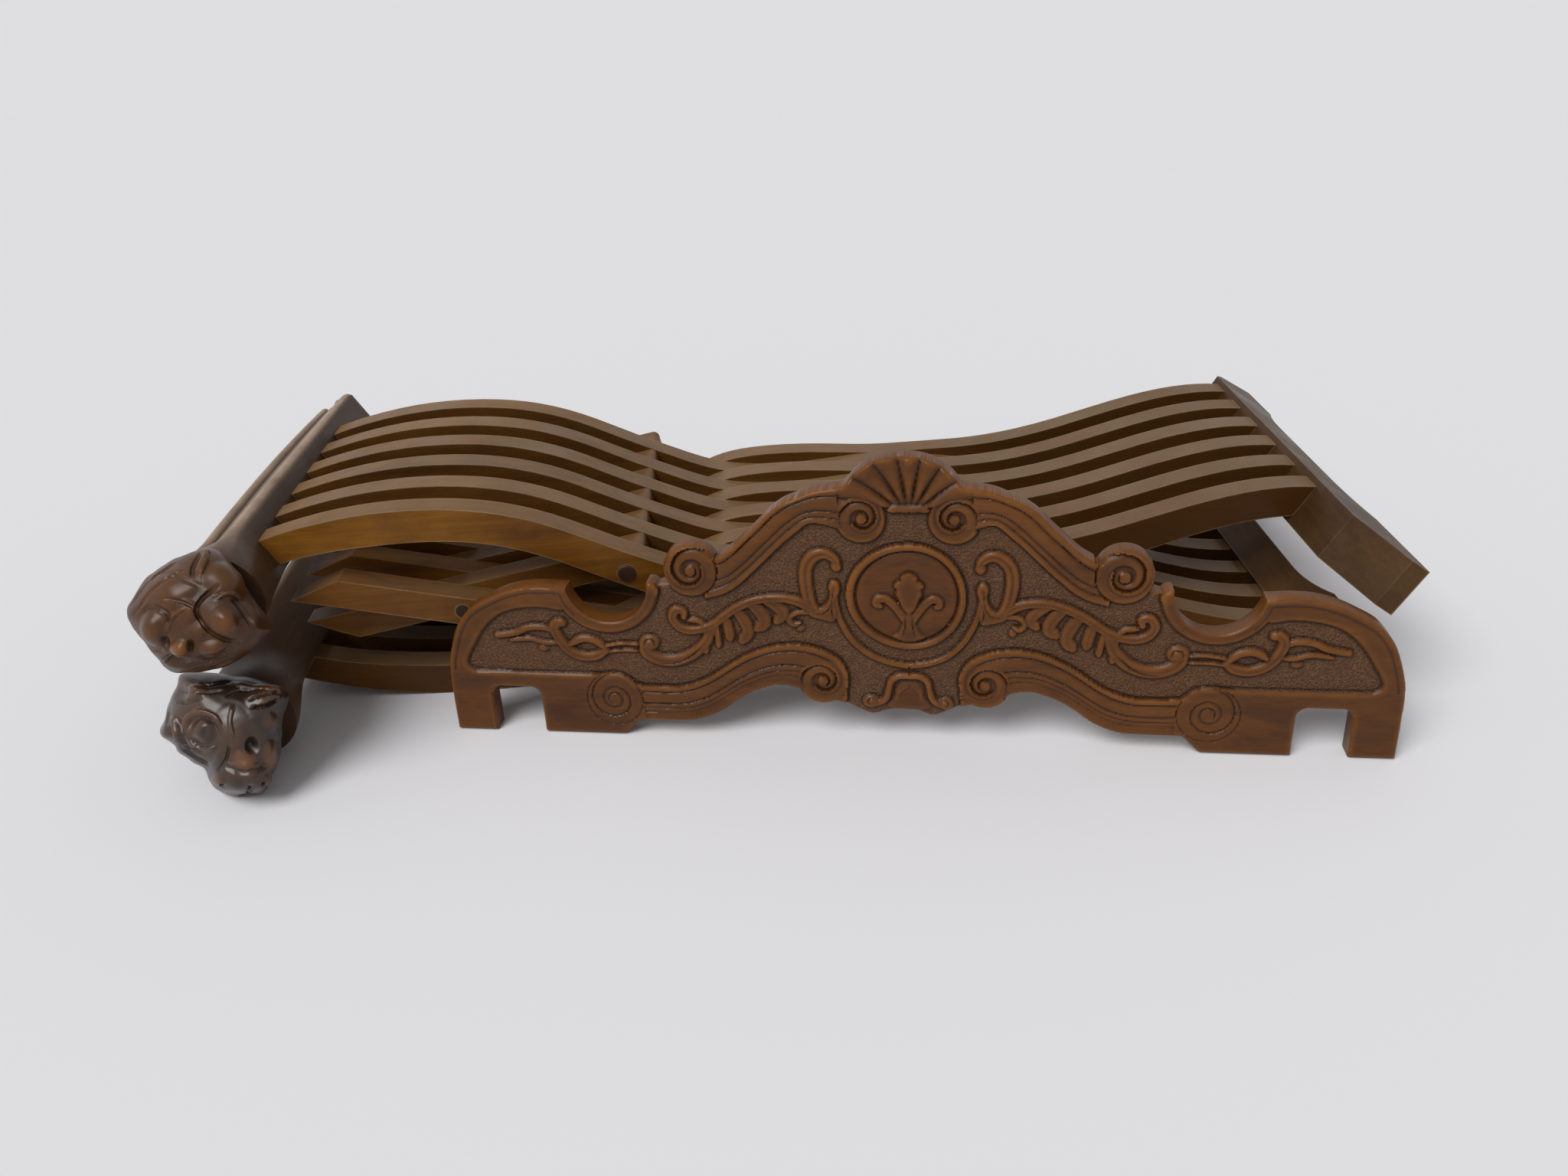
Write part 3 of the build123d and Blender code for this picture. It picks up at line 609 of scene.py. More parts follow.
def carve_foliage(c):
    """The tendril and its leaves on the ground between the bands."""
    for lobe, width in (([(101, 113), (93, 108), (88.5, 101.5), (92, 96.5)], 8.6),
                        ([(111, 111), (103.5, 103), (100.5, 95), (105.5, 90.5)], 10),
                        ([(122, 106), (115.5, 96), (112.5, 87.5), (117, 80.5)], 10),
                        ([(131, 100), (128.5, 92), (126.5, 82)], 8.4),
                        ([(138, 93), (136.5, 84.5), (135, 76)], 5.4),
                        ([(146, 90), (145.5, 80.5), (144.5, 71)], 5.6)):
        c.stroke(lobe, width, 3.3, ends=(0.4, 0.06), tip=0.72, groove=0.5)
    c.stroke([(70, 106), (83, 113), (95, 114.6), (107, 112.5), (119.5, 107), (130, 100.5), (139, 94),
              (148, 90), (159, 88.5), (167.5, 91.5), (171.5, 98.5), (168, 104.5), (162.5, 104), (163, 99.5)],
             7.4, 3.9, ends=(0.05, 0.1), tip=0.7, groove=0.9)
    c.stroke([(72, 104), (80, 103.5), (84.5, 98.5), (81, 94), (77, 95.5)], 4.6, 3, ends=(0.1, 0.1), tip=0.6)
    c.stroke([(146, 91), (153, 96), (161, 96.5)], 5, 2.6)
    c.bead((76, 91), 3, 2.2)
    c.stroke([(141, 90), (145.5, 79), (154, 69.5), (166, 64), (178, 64), (188, 69), (192, 76)], 10.5, 3.9,
             ends=(0.3, 0.05), tip=0.75, groove=0.8)
    c.bead((188.5, 77.5), (8, 7.4), 4)
    c.cut([(183, 75), (185.5, 80.5), (190.5, 80.5), (192, 76)], 1.5, 1.2)
    c.cut([(149, 75), (158, 66), (169, 61.5), (180, 61.5)], 1.4, 1)
    c.stroke([(196, 76.5), (206, 77.3), (216, 76), (225, 73.5)], 3.2, 2.6, ends=(0.1, 0.1))
    c.stroke([(196, 71), (208, 71.3), (224, 69.5)], 2.8, 2.2, ends=(0.1, 0.1))
    c.stroke([(221, 71), (229, 66.5), (240, 66.5), (249.5, 72), (255, 80.5), (257, 88.5), (253.5, 94.5)],
             8.4, 3.9, ends=(0.12, 0.06), tip=0.72, groove=0.8)
    c.stroke([(222, 73.5), (229.5, 79.5), (239, 80.5), (247, 76)], 6.8, 3.5, ends=(0.2, 0.2), tip=0.6)
    c.bead((251, 93.5), (4.4, 3.8), 3.6)
    c.stroke([(255, 84), (264, 89), (276, 88.5), (286, 84), (300, 81.5)], 5.8, 3.2, ends=(0.3, 0.1), tip=0.6)
    c.stroke([(254, 77), (265, 76.5), (276, 79.5), (290, 78)], 4.6, 2.8, ends=(0.3, 0.15), tip=0.5)
    c.bead((267, 72), (4.2, 3), 2.4)
    c.bead((299, 81.5), (3.4, 3), 2.6)


def drift(side, height, hills):
    """How far nearer to the middle a place lies than it is drawn."""
    return np.tanh(side / MIDDLE_SPREAD) * sum(
        most * np.exp(-((side - x) / wide) ** 2 - ((height - v) / tall) ** 2)
        for most, (x, v), (wide, tall) in hills)


def carve(x, v, reach):
    """Every height of the panel's front, with the left half a little unlike the right."""
    left = x < 0
    side = np.abs(x)
    wander = 1.4 * np.sin(side / 37.0) * np.sin(v / 29.0) - 0.9
    side = side + np.where(left, wander * np.tanh(side / MIDDLE_SPREAD), 0)
    height = np.where(left, v - 0.9 * np.sin(side / 51.0), v)
    band_side = side + np.where(left, drift(side, height, LEFT_BAND_END), 0)
    volute_side = side + np.where(left, LEFT_VOLUTE_SHIFT * np.tanh(side / MIDDLE_SPREAD), 0)
    shield_side = np.abs(x - SHIELD_SHIFT * bell(x, SHIELD_SPREAD))
    nearer = [drift(side, height, hills) for hills in (LEFT_LEAVES, RIGHT_SCROLL)]
    leaf_side = shield_side + np.where(left, *nearer)
    c = Carving(side, height, reach)
    for part, part_side in ((carve_ends, side), (carve_middle, leaf_side), (carve_medallion, shield_side),
                            (carve_foliage, leaf_side), (carve_upper_band, band_side),
                            (carve_lower_band, side), (carve_shell, shield_side),
                            (carve_upper_volute, volute_side), (carve_volutes, side)):
        c.x = part_side
        part(c)
    return c.height


def blur(grid, radius):
    """The mean over a square of cells, along one axis and then the other."""
    width = 2 * radius + 1
    for axis in (0, 1):
        pad = [(radius + 1, radius) if this == axis else (0, 0) for this in (0, 1)]
        total = np.cumsum(np.pad(grid, pad, mode="edge"), axis=axis)
        high, low = (np.take(total, range(start, total.shape[axis] - width + start), axis=axis)
                     for start in (width, 0))
        grid = (high - low) / width
    return grid


def without_pinches(cells):
    """The kept cells, less one of any two that meet at a corner only."""
    while True:
        a, b, c, d = cells[:-1, :-1], cells[1:, :-1], cells[:-1, 1:], cells[1:, 1:]
        first, second = a & d & ~b & ~c, b & c & ~a & ~d
        if not (first.any() or second.any()):
            return cells
        cells = cells.copy()
        cells[:-1, :-1] &= ~first
        cells[1:, :-1] &= ~second


def outer_loop(faces):
    """The border of a sheet of faces, as one ring of its vertices in order."""
    used = set()
    for face in faces:
        used.update(zip(face, np.roll(face, -1)))
    following = {a: b for a, b in used if (b, a) not in used}
    ring = [next(iter(following))]
    while following[ring[-1]] != ring[0]:
        ring.append(following[ring[-1]])
    return ring


def panel_to_frame(x, back, v):
    """A point of the panel, from the middle of its front lower edge, in the frame's metres."""
    depth, up = turned(back, v, PANEL_LEAN)
    up += PANEL_THICKNESS * math.sin(math.radians(PANEL_LEAN))
    along, depth = turned(x, depth, PANEL_YAW)
    place = np.stack([along + PANEL_FROM_PIVOT[0], depth + PANEL_FROM_PIVOT[1], up], axis=-1) * MM
    return place + [pivot[0], pivot[1], 0]


def make_mesh(name, points, faces, colours, sharp=35):
    """An object with smooth faces, sharp edges over an angle, and colours that say how it is carved."""
    mesh = bpy.data.meshes.new(name)
    mesh.from_pydata(points, [], faces)
    mesh.update()
    mesh.polygons.foreach_set("use_smooth", [True] * len(mesh.polygons))
    mesh.set_sharp_from_angle(angle=math.radians(sharp))
    layer = mesh.color_attributes.new("carving", "FLOAT_COLOR", "POINT")
    layer.data.foreach_set("color", np.column_stack([colours, np.ones(len(colours))]).ravel())
    return link(name, mesh)


def carving_colours(height):
    """How much painted shade the carving's hollows get, and how low and worn it is, at each point of the
    grid.
    """
    near, far = (blur(height, max(1, round(span / GRID_STEP))) for span in (SHADE_SPAN, WEAR_SPAN))
    # Painted shade in the hollows, by how far a point lies below what is around it.
    painted_shade = np.clip((near - height) * 1.6, 0, 0.85)
    low = blur(np.clip(1 - height / LOW_HEIGHT, 0, 1), 1)
    wear = np.clip((height - far) * 0.55, 0, 0.85)
    return painted_shade, low, wear


def onto_outline(x, v, ring, step=0.05):
    """Moves the sheet's border onto the panel's outline, down the slope of its reach."""
    for _ in range(4):
        at = (x[ring], v[ring])
        here = panel_reach(*at)
        aside, above = panel_reach(at[0] + step, at[1]), panel_reach(at[0], at[1] + step)
        slope = np.stack([aside - here, above - here]) / step
        slope /= np.maximum((slope ** 2).sum(axis=0), 0.25)
        move = np.clip(-here * slope, -GRID_STEP, GRID_STEP)
        x[ring] += move[0]
        v[ring] += move[1]


def make_panel(material):
    """The panel: a sheet of its carved front, a flat back, and walls between their borders."""
    side_cells, up_cells = int(PANEL_HALF / GRID_STEP) + 2, int(PANEL_HEIGHT / GRID_STEP) + 2
    x, v = np.meshgrid(np.arange(-side_cells, side_cells + 1) * GRID_STEP,
                       np.arange(-1, up_cells) * GRID_STEP, indexing="ij")
    reach = panel_reach(x.ravel(), v.ravel()).reshape(x.shape)
    cells = without_pinches((reach[:-1, :-1] + reach[1:, :-1] + reach[:-1, 1:] + reach[1:, 1:]) / 4 > 0)
    height = carve(x.ravel(), v.ravel(), reach.ravel()).reshape(x.shape)
    grids = (x, v, height, reach, *carving_colours(height))

    i, j = np.nonzero(cells)
    corner = np.arange(x.size).reshape(x.shape)
    quads = np.stack([corner[i, j], corner[i + 1, j], corner[i + 1, j + 1], corner[i, j + 1]], axis=1)
    used, quads = np.unique(quads, return_inverse=True)
    quads = quads.reshape(-1, 4)
    x, v, height, reach, painted_shade, low, wear = (grid.ravel()[used] for grid in grids)
    ring = np.array(outer_loop(quads.tolist()))
    onto_outline(x, v, ring)
    reach[ring] = 0
    rounding = EDGE_ROUND * np.clip(1 - reach / 2.0, 0, 1) ** 2
    front = PANEL_RELIEF - np.clip(height, -0.6, PANEL_RELIEF + 0.3) + rounding
    front = np.minimum(front, PANEL_RELIEF + 1.2)
    wear = np.maximum(wear, np.clip(1 - reach / 2.2, 0, 1) * 0.55)
    colours = np.column_stack([painted_shade * (reach > 1), low * (reach > 1.5), wear])

    count = len(x)
    back = panel_to_frame(x[ring], np.full(len(ring), PANEL_THICKNESS), v[ring])
    points = np.vstack([panel_to_frame(x, front, v), back])
    colours = np.vstack([colours, np.tile([0.0, 0.0, 0.1], (len(ring), 1))])
    back_ring = list(range(count, count + len(ring)))
    faces = quads.tolist() + [back_ring[::-1]]
    for number, start in enumerate(ring):
        after = (number + 1) % len(ring)
        faces.append((int(ring[after]), int(start), back_ring[number], back_ring[after]))
    panel = make_mesh("back_panel_carved", points, faces, colours)
    panel.data.materials.append(material)
    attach(panel, "back_panel")
    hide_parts("back_panel")


# ---- arms ----

FOLD_HALF_ANGLE = 31.0
ARM_FACE = (-467.0, 58.0)
ARM_HALF, ARM_HEIGHT, ARM_FLARE = 18.5, 54.0, 6.0
ARM_FRONT, ARM_REAR = -24.0, 287.5
ARM_SWELL = {"a": 3.2, "b": 0.0}      # of the outer face in its middle, where it doesn't lie on the floor
ARM_ROUND = 7.0
NECK_START, NECK_END = 8.0, -56.0
NECK_MIDDLE, NECK_RADIUS = (3.0, 22.0), 35.0
THICK_BEAD, THIN_BEAD = (7.0, 5.5), (32.0, 3.2)      # height of the middle and half width
BEAD_PROUD, QUIRK_DEPTH = 3.0, 1.7     # of the beads, and of the quirks beside them
REAR_KNOBS = [(15.0, (3.5, 4.0, 5.0)), (38.0, (3.5, 4.5, 6.0))]      # height and half sizes


def chair_to_frame(along, depth, rise):
    """A point in the folded chair's own axes, in the frame's metres."""
    along, rise = turned(along, rise, REST_TILT)
    return np.stack([along, depth - HALF_DEPTH, rise], axis=-1) * MM + pivot


def rail_to_frame(side, out, depth, up):
    """A point of an arm rail: out over the arm, up from its under face."""
    turn = math.radians(FOLD_HALF_ANGLE)
    along = ARM_FACE[0] - out * math.sin(turn) - up * math.cos(turn)
    rise = ARM_FACE[1] + out * math.cos(turn) - up * math.sin(turn)
    return chair_to_frame(along, depth, rise if side == "a" else -rise)


def arm_section():
    """Its round top, mouldings on the outer side and flat inside, as (out, up) points."""
    section = [(-ARM_HALF, up) for up in np.linspace(ARM_HEIGHT - ARM_ROUND, 0, 9)]
    section += [(out, 0) for out in np.linspace(-ARM_HALF + 4, ARM_HALF - 2.0, 8)]
    for up in np.linspace(0.6, ARM_HEIGHT - ARM_ROUND, 64):
        out = ARM_HALF
        for middle, half in (THICK_BEAD, THIN_BEAD):
            out = max(out, ARM_HALF + BEAD_PROUD * float(dome(np.array(up - middle), half)))
            out -= QUIRK_DEPTH * math.exp(-((abs(up - middle) - half - 1.3) / 1.1) ** 2)
        section.append((out, up))
    for middle, angles in ((ARM_HALF - ARM_ROUND, np.linspace(0, 90, 7)[1:]),
                           (ARM_ROUND - ARM_HALF, np.linspace(90, 180, 7)[:-1])):
        for turn in np.radians(angles):
            up = ARM_HEIGHT - ARM_ROUND * (1 - math.sin(turn))
            section.append((middle + ARM_ROUND * math.cos(turn), up))
    return np.array(section)


def ring_faces(rings, around, start=0):
    """Quads between rings of points that follow each other."""
    faces = []
    for ring in range(rings - 1):
        for number in range(around):
            a = start + ring * around + number
            b = start + ring * around + (number + 1) % around
            faces.append((a, b, b + around, a + around))
    return faces


def ball_mesh(centre, size, rings=10, around=16):
    """Points and faces of an oval ball in rail axes."""
    points = []
    for lat in np.linspace(0, math.pi, rings + 1):
        for number in range(around):
            turn = 2 * math.pi * number / around
            points.append((centre[0] + size[0] * math.sin(lat) * math.cos(turn),
                           centre[1] + size[1] * math.cos(lat),
                           centre[2] + size[2] * math.sin(lat) * math.sin(turn)))
    return np.array(points), ring_faces(rings + 1, around)


def arm_outline(side, section, neck, depth, blend):
    """The rail's section at a depth: wider towards the front, and round at the neck."""
    outline = section.copy()
    run = min((ARM_REAR - depth) / (ARM_REAR - ARM_FRONT), 1)
    swell = ARM_SWELL[side] * (4 * run * (1 - run) + 0.5 * run)
    flare = ARM_FLARE * run + swell * (0.15 + 0.85 * np.clip(outline[:, 1] / 40, 0, 1))
    outline[:, 0] += np.where(outline[:, 0] > 0, flare * outline[:, 0] / ARM_HALF, 0)
    return outline + (neck - outline) * blend


def arm_colours(section, blend):
    """Worn on the beads, painted shade in the hollows, underneath and inside, and darker on the neck."""
    out, up = section.T
    wear = np.where(out > ARM_HALF + 1.2, 0.9, 0.15) * (1 - blend)
    groove = (out < ARM_HALF - 0.1) & (out > ARM_HALF - 2) & (up < ARM_HEIGHT - ARM_ROUND - 1)
    # Painted shade on the under face, the inner face and in the quirks beside the beads.
    painted_shade = np.where(up < 0.1, 0.85, np.where(out < 0, 0.6, np.where(groove, 0.8, 0)))
    return np.column_stack([painted_shade + (0.75 - painted_shade) * blend, np.zeros(len(out)), wear])


def arm_mesh(side):
    """The rail from its rear end to the neck, which turns from its section into a round one."""
    section = arm_section()
    count = len(section)
    depths = np.concatenate([ARM_REAR - np.array([0, 0.5, 1.4, 3]),
                             np.linspace(ARM_REAR - 8, NECK_START, 60),
                             np.linspace(NECK_START, NECK_END, 26)[1:]])
    insets = [1.6, 0.7, 0.2] + [0.0] * (len(depths) - 3)        # the rounding of the rear end
    turns = np.arctan2(section[:, 1] - NECK_MIDDLE[1], section[:, 0] - NECK_MIDDLE[0])
    neck = np.array(NECK_MIDDLE) + NECK_RADIUS * np.column_stack([np.cos(turns), np.sin(turns)])
    centre = np.array([0, ARM_HEIGHT / 2])
    points, colours = [], []
    for depth, inset in zip(depths, insets):
        share = np.clip((NECK_START - depth) / (NECK_START - NECK_END), 0, 1)
        blend = share * share * (3 - 2 * share)
        outline = arm_outline(side, section, neck, depth, blend)
        outline = centre + (outline - centre) * (1 - inset / ARM_HALF)
        points.append(np.column_stack([outline[:, 0], np.full(count, depth), outline[:, 1]]))
        colours.append(arm_colours(section, blend))
    points, colours = np.vstack(points), np.vstack(colours)
    last = (len(depths) - 1) * count
    faces = [tuple(range(count))[::-1], *ring_faces(len(depths), count), tuple(range(last, last + count))]
    for up, size in REAR_KNOBS:
        ball, quads = ball_mesh((ARM_HALF - 1.0, ARM_REAR - 2.5, up), size)
        faces += [tuple(index + len(points) for index in quad) for quad in quads]
        points = np.vstack([points, ball])
        colours = np.vstack([colours, np.tile([0.0, 0.0, 0.3], (len(ball), 1))])
    placed = rail_to_frame(side, points[:, 0], points[:, 1], points[:, 2])
    placed[:, 2] = np.maximum(placed[:, 2], FLOOR_GAP * MM)
    if side == "b":
        faces = [face[::-1] for face in faces]
    return placed, faces, colours


# ---- heads ----
# A head is drawn as the camera sees it: right, up and towards the camera from its middle.

HEAD_MIDDLES = {"a": (-492.5, -194.7, 62.9), "b": (-496.4, -200.7, -35.8)}      # from the fold joint
HEAD_FRONT, HEAD_BACK, HEAD_SIDE = 40.0, 36.0, 46.0
MANE_LOCKS, MANE_DEPTH = 17, 1.6
GOUGE_CUTS = [(14.0, 0.45), (8.0, 0.2)]      # length and depth of the uneven cuts left by the gouge
HEAD_OUTLINES = {
    "a": [
        (51, -14), (48, -4), (38, 10), (28, 27), (18, 39.5), (6, 44), (-1, 41), (-14, 36), (-32, 25),
        (-42, 12), (-47, 3.5), (-48, -4), (-45, -10), (-39, -18), (-30.5, -29), (-22, -39), (-14, -42.5),
        (-3, -42.5), (13, -40), (25, -36), (36.5, -29), (44, -20)],
    "b": [
        (40, 4.6), (41, 12.5), (44, 21.6), (44.8, 28), (39, 33.4), (31, 36), (18, 40), (-1.4, 42.5),
        (-21, 44.4), (-32.7, 42.5), (-36, 34.6), (-40, 25.5), (-44.5, 11), (-47.5, 3.4), (-47, -2),
        (-40.5, -6.4), (-37, -9), (-34.7, -13.6), (-25, -20), (-16, -25.3), (-12.5, -33), (-8, -39.7),
        (-1.4, -43.6), (7.7, -45), (14.2, -42.9), (26, -43.3), (31.2, -34.4), (36.3, -22.7), (39.6, -9.7)]}
# bumps: (right, up), (half width, half height), turn, rise, wear, which below zero is painted shade
HEAD_BUMPS = {
    "a": [
        ((-29, -12), (9.5, 13.5), 15, 5.5, 0), ((-29, -12), (7, 11), 15, 2, 0.35),
        ((-11.3, -24.5), (7.5, 6.5), 0, 6, 1), ((-14, -33), (10, 5), -10, -5, -0.5),
        ((-20.6, -21), (3, 6), 20, -3.5, -0.5), ((-4, -23), (3, 5), 0, -3, -0.4),
        ((16, -5), (14, 17), 35, 5.5, 0.1), ((17, -7), (9, 11), 35, 3, 0.45),
        ((-6, 0), (8, 9), 20, 2.5, 0.2), ((10.5, -24), (10, 5.5), 10, 3.5, 0.35),
        ((20, 20), (17, 13), -25, 5, 0.3), ((-18, 14), (24, 14), 30, 3.5, 0.15),
        ((34, -16), (13, 12), 30, 3, 0), ((2, -12), (6, 6), 0, 2, 0.15)],
    "b": [
        ((-17, 3), (15, 15), 0, -3, -0.3), ((-16, 2), (9.5, 10), 0, 7, 0.1),
        ((-14.5, 0.8), (2.4, 4.2), -15, -1.6, -0.3), ((18, -8.4), (6, 7), 0, -5, -0.8),
        ((11.6, -17.5), (11, 7), -10, 2.5, 1), ((31, -16), (7, 12), 0, 2.5, 0.8),
        ((10, -31), (25, 13), 0, 7, 0.1), ((-6, -30), (5, 5), 0, 3, 0.3), ((-3, -33), (2, 2), 0, -3, -0.3),
        ((28, -31), (4.5, 4.5), 0, 2.5, 0.3), ((24, -33), (2, 2), 0, -2.5, -0.3),
        ((-21, 30), (8, 6), 20, 3, 0.3), ((-32, 29), (6, 8), 0, -2, -0.3),
        ((27, 26), (15, 10), 15, 4, 0.35), ((31, 8), (7, 8), 0, 3, 0.3), ((3, 2), (14, 20), 0, 2.5, 0.1),
        ((-42, 1), (5, 7), 0, 3, 0.2)]}
# cuts and ridges: points, width, rise; a cut also gets painted shade
HEAD_LINES = {
    "a": [
        ([(13, 15), (5.5, 10), (0.5, 3.4), (0, -1.5), (3, -6.5), (8, -12.7), (18, -18.5), (27, -20)],
         3.6, -2.6),
        ([(-45, 3), (-32, 20), (-14, 32)], 2.6, -1.5), ([(-42, -2), (-28, 14), (-9, 26)], 2.4, -1.4),
        ([(-40, 14), (-28, 27), (-12, 36)], 2.4, -1.3), ([(-2, 2), (-10, 6), (-20, 8)], 2.6, -1.6),
        ([(12, 8), (20, 11), (30, 8)], 3, 1.8), ([(-20, -14), (-16, -4), (-8, 2)], 3, 1.8),
        ([(-24, -36), (-14, -29), (-4, -31)], 2.4, 1.6), ([(0, -30), (12, -33), (24, -30)], 2.4, -1.6),
        ([(6, 42), (5.5, 36), (3, 30), (0.5, 24)], 6, 2.5), ([(4, 40), (-2, 30), (-3, 22)], 3.5, -2),
        ([(51, -13), (44, -20.8), (30.3, -32.6), (25.4, -41.3)], 3, -3), ([(10, -39), (24, -33)], 3, -2),
        ([(-38, -2), (-30, 3), (-20, -1), (-18, -10)], 3.5, -2.2),
        ([(-37, -19), (-31, -25), (-22, -26)], 3, -2), ([(-24, 26), (-8, 20), (4, 16)], 4, -1.2),
        ([(24, 8), (32, -2), (36, -10)], 4, -2), ([(-8, -38), (6, -34), (20, -29)], 3, -1.8)],
    "b": [
        ([(-30, 4), (-27, 11), (-19, 14.5), (-9, 11.5), (-5, 5)], 4.5, 3),
        ([(-28, 38), (-14, 34), (2, 36)], 2.4, -1.4), ([(-34, 32), (-20, 28), (-2, 30)], 2.4, -1.4),
        ([(0, 26), (8, 30), (20, 29)], 2.2, -1.2), ([(2, -8), (0, -18), (-6, -26)], 2.6, -1.5),
        ([(4, 18), (2, 8), (4, -2)], 3.4, 1.6), ([(-40, 16), (-42, 8), (-38, 2)], 2.4, -1.6),
        ([(-37.3, 12), (-36, 1), (-34, -8.3)], 3.5, 2.5),
        ([(-33.4, 10), (-31.4, -2), (-27.5, -9.7), (-17, -13)], 3.2, -3),
        ([(-31, -10.3), (-22, -17), (-13.2, -21.4)], 3.2, -3.5), ([(-27, -5), (-19, -11), (-8, -10)], 3, 2),
        ([(14.2, -47), (14.5, -38), (15, -33)], 3, -3.5), ([(18, 18), (27, 19), (35, 23.6)], 2.6, -3),
        ([(5, 35), (20, 32), (39, 29)], 4, 2), ([(16, 23), (25, 26), (36, 27.5)], 2.4, -2),
        ([(-34, 22), (-26, 22), (-18, 25)], 3, -2), ([(-2, -22), (12, -25), (28, -22)], 3, -1.5)]}
HEAD_RINGS, HEAD_TURNS = ((150, 220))


def outline_reach(outline, angles):
    """How far the outline lies from its middle in each direction."""
    curve = smooth([*outline, outline[0]], 8)
    turns = np.unwrap(np.arctan2(curve[:, 1], curve[:, 0]))
    order = np.argsort(turns % (2 * math.pi))
    return np.interp(angles, (turns % (2 * math.pi))[order], np.hypot(*curve.T)[order], period=2 * math.pi)


def head_mesh(side):
    """A head whose outline, bumps and lines are those that the viewer sees."""
    lat = np.linspace(0, math.pi, HEAD_RINGS + 1)[1:-1]
    turn = np.linspace(0, 2 * math.pi, HEAD_TURNS, endpoint=False)
    lat, turn = (grid.ravel() for grid in np.meshgrid(lat, turn, indexing="ij"))
    reach = outline_reach(HEAD_OUTLINES[side], turn)
    ring = np.sin(lat)
    right, up = (reach * ring * wave for wave in (np.cos(turn), np.sin(turn)))
    depth = np.where(lat < math.pi / 2, HEAD_FRONT, -HEAD_BACK) * np.clip(1 - ring ** 2.5, 0, 1) ** 0.5
    right, up, depth = (np.concatenate([[0], axis, [0]]) for axis in (right, up, depth))
    depth[0], depth[-1] = HEAD_FRONT, -HEAD_BACK
    facing = np.clip(depth / HEAD_FRONT * 2.5, 0, 1)
    rise, wear = np.zeros(right.shape), np.zeros(right.shape)
    for (a, b), (wide, tall), angle, amount, rub in HEAD_BUMPS[side]:
        da, db = turned(right - a, up - b, angle)
        weight = np.clip(1 - (da / wide) ** 2 - (db / tall) ** 2, 0, 1) ** 1.3
        rise += amount * weight
        wear += rub * weight
    for points, width, amount in HEAD_LINES[side]:
        distance, share = to_curve(right, up, smooth(points))
        weight = dome(distance, width / 2) * np.clip(6 * np.minimum(share, 1 - share) + 0.25, 0, 1)
        rise += amount * weight
        wear += 0.12 * amount * weight
    behind = np.clip(-depth / HEAD_BACK * 2, 0, 1)
    mane = np.sin(np.arctan2(up, right) * MANE_LOCKS + depth / 5.0)
    rise = rise * facing + behind * MANE_DEPTH * mane
    for length, amount in GOUGE_CUTS:
        across = np.sin(right / length * 3 + np.sin(up / length * 2))
        rise += amount * across * np.sin(up / length * 3.3 + depth / length)
    outward = np.stack([right / HEAD_SIDE ** 2, up / HEAD_SIDE ** 2, depth / HEAD_FRONT ** 2], axis=-1)
    outward /= np.linalg.norm(outward, axis=1)[:, None]
    local = np.stack([right, up, depth], axis=-1) + outward * rise[:, None]
    middle = pivot + np.array(HEAD_MIDDLES[side]) * MM
    sight = (camera_place - middle) / np.linalg.norm(camera_place - middle)
    placed = middle + (local @ np.stack([view_right, view_up, sight])) * MM
    placed[:, 2] = np.maximum(placed[:, 2], FLOOR_GAP * MM)
    rows, around = HEAD_RINGS - 1, HEAD_TURNS
    faces = [(0, 1 + number, 1 + (number + 1) % around) for number in range(around)]
    faces += [(a, d, c, b) for a, b, c, d in ring_faces(rows, around, 1)]
    last, start = len(right) - 1, 1 + (rows - 1) * around
    faces += [(start + number, last, start + (number + 1) % around) for number in range(around)]
    # Where the wear is below zero it becomes painted shade in the creases; above zero it is wear.
    wear = np.clip(wear * facing, -1, 1)
    colours = np.column_stack([np.clip(-1.3 * wear, 0, 0.9), np.zeros(len(right)), np.clip(wear, 0, 1)])
    return placed, faces, colours


def make_arm(side, materials):
    """An arm rail with its head, as one piece that stands for the rail's solid."""
    rail, rail_faces, rail_colours = arm_mesh(side)
    head, head_faces, head_colours = head_mesh(side)
    shifted = [tuple(index + len(rail) for index in face) for face in head_faces]
    arm = make_mesh(f"arm_rail_{side}_carved", np.vstack([rail, head]), rail_faces + shifted,
                    np.vstack([rail_colours, head_colours]), 40)
    for material in materials:
        arm.data.materials.append(material)
    kinds = [0] * len(rail_faces) + [1] * len(shifted)
    arm.data.polygons.foreach_set("material_index", kinds)
    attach(arm, f"frame_{side}")
    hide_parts(f"arm_rail_{side}")


# ---- the scene ----

make_camera()
make_floor()
make_light()
bpy.context.scene.view_settings.view_transform = "Standard"

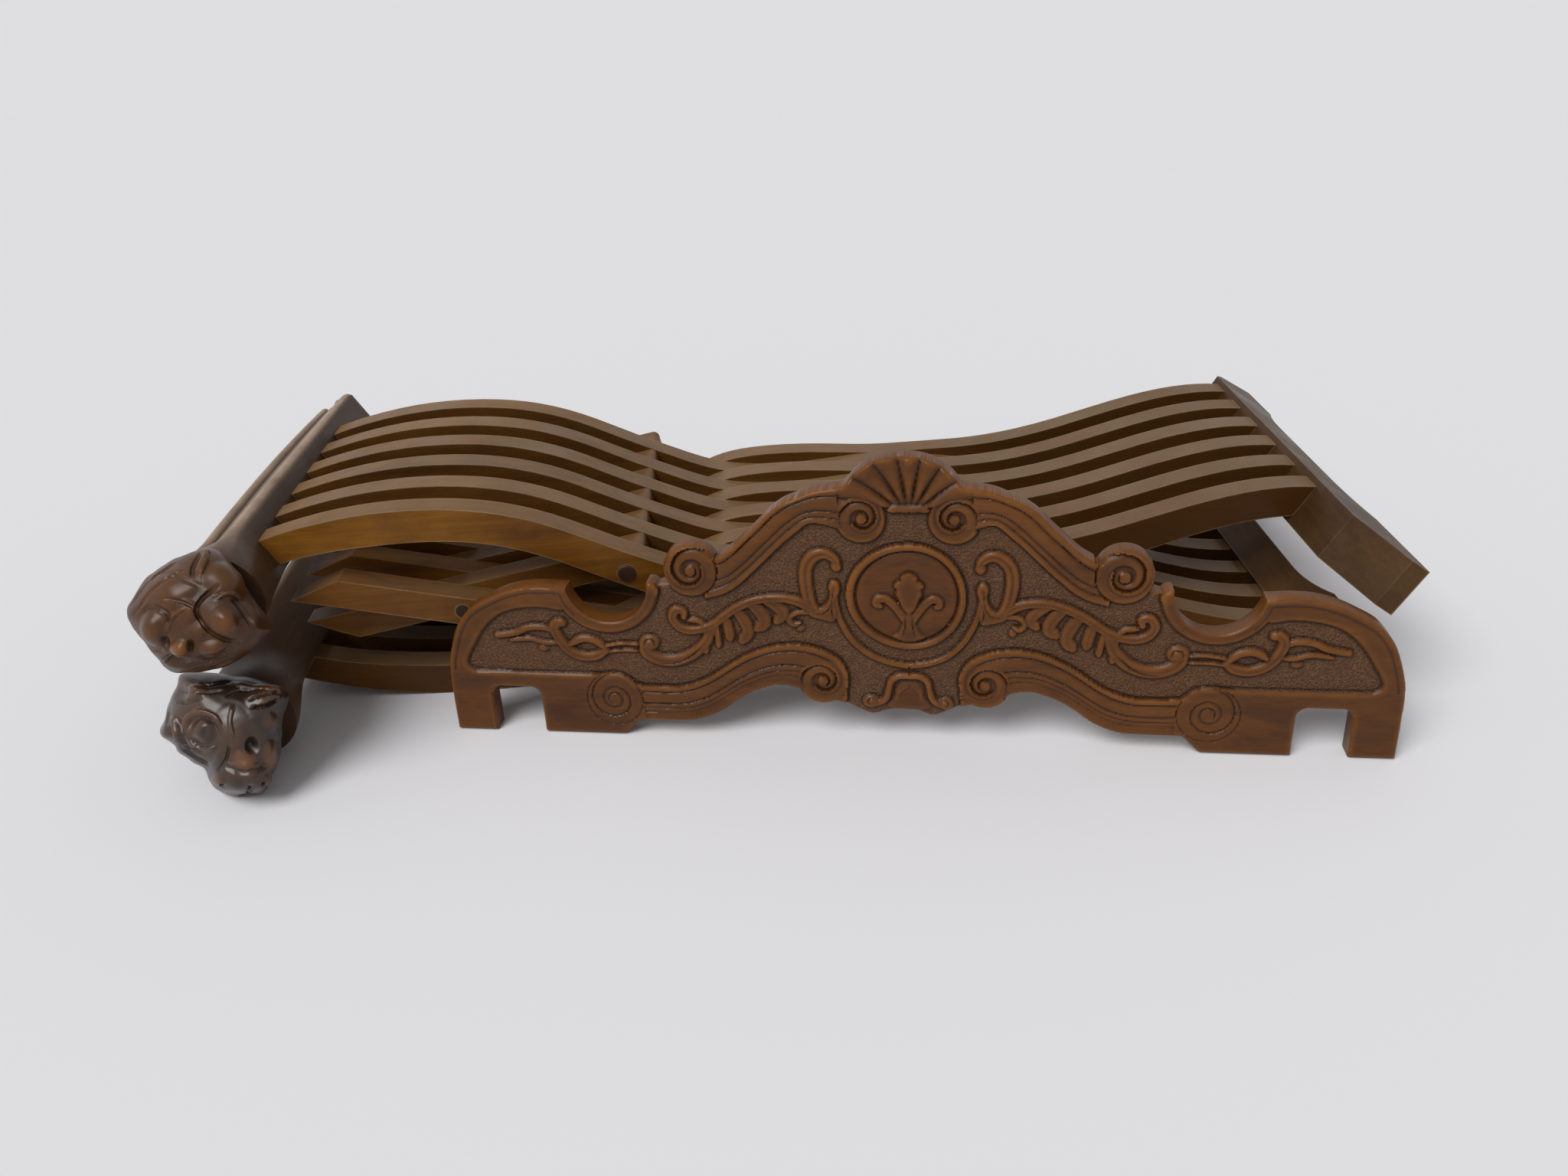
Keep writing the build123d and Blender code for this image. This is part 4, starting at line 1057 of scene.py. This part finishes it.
slat_tones = ((0.095, 0.034, 0.005), (0.2, 0.078, 0.008), (0.3, 0.125, 0.014))
# The slats and the seat slats below get a painted pale sheen on their up-facing faces.
slat_wood = wood("slat_wood", *slat_tones, coat=0.02, specular=0.12, foot_dark=0.8, painted_top_sheen=0.6)
# The inner slats also take painted shade on the faces that look at their neighbours.
slat_wood_gap_shaded = wood("slat_wood_gap_shaded", *slat_tones, coat=0.05, foot_dark=0.8, painted_top_sheen=0.6, between=0.6)
seat_wood = wood("seat_wood", (0.085, 0.03, 0.006), (0.17, 0.066, 0.009), (0.24, 0.1, 0.016), painted_top_sheen=0.3)
foot_wood = wood("foot_wood", (0.038, 0.016, 0.005), (0.075, 0.034, 0.01), (0.12, 0.06, 0.018),
                 grain=(60, 6, 60), edge=(0.42, 0.31, 0.2), edge_share=0.6, sole=0.95)
dowel_wood = wood("dowel_wood", (0.02, 0.009, 0.005), (0.045, 0.02, 0.01), (0.08, 0.035, 0.015),
                  grain=(90, 8, 90))
panel_wood = carved_wood("panel_wood", (0.095, 0.043, 0.018), (0.12, 0.04, 0.006), (0.225, 0.078, 0.01),
                         (0.022, 0.008, 0.004), 0.33, 0.06, stipple=0.0006, specular=0.2)
rail_wood = carved_wood("arm_rail_wood", (0.05, 0.028, 0.018), (0.15, 0.09, 0.055), (0.42, 0.3, 0.21),
                        (0.045, 0.02, 0.008), 0.4, 0.05, grain=(50, 5, 50))
head_wood = {
    "a": carved_wood("head_wood_a", (0.008, 0.004, 0.003), (0.075, 0.029, 0.008), (0.2, 0.07, 0.012),
                     (0.016, 0.007, 0.003), 0.36, 0.08, grain=(14, 14, 14), specular=0.25),
    "b": carved_wood("head_wood_b", (0.008, 0.004, 0.003), (0.034, 0.018, 0.011), (0.2, 0.075, 0.018),
                     (0.01, 0.006, 0.004), 0.34, 0.2, grain=(14, 14, 14), specular=0.4)}

kinds = {"slat": slat_wood_gap_shaded, "seat_slat": seat_wood, "foot_rail": foot_wood}
for name, node in frame["nodes"].items():
    kind = slat_wood if name == "slat_a1" else kinds.get(name.rsplit("_", 1)[0], dowel_wood)
    node.data.materials.clear()
    node.data.materials.append(kind)

make_panel(panel_wood)
for side in ("a", "b"):
    make_arm(side, (rail_wood, head_wood[side]))
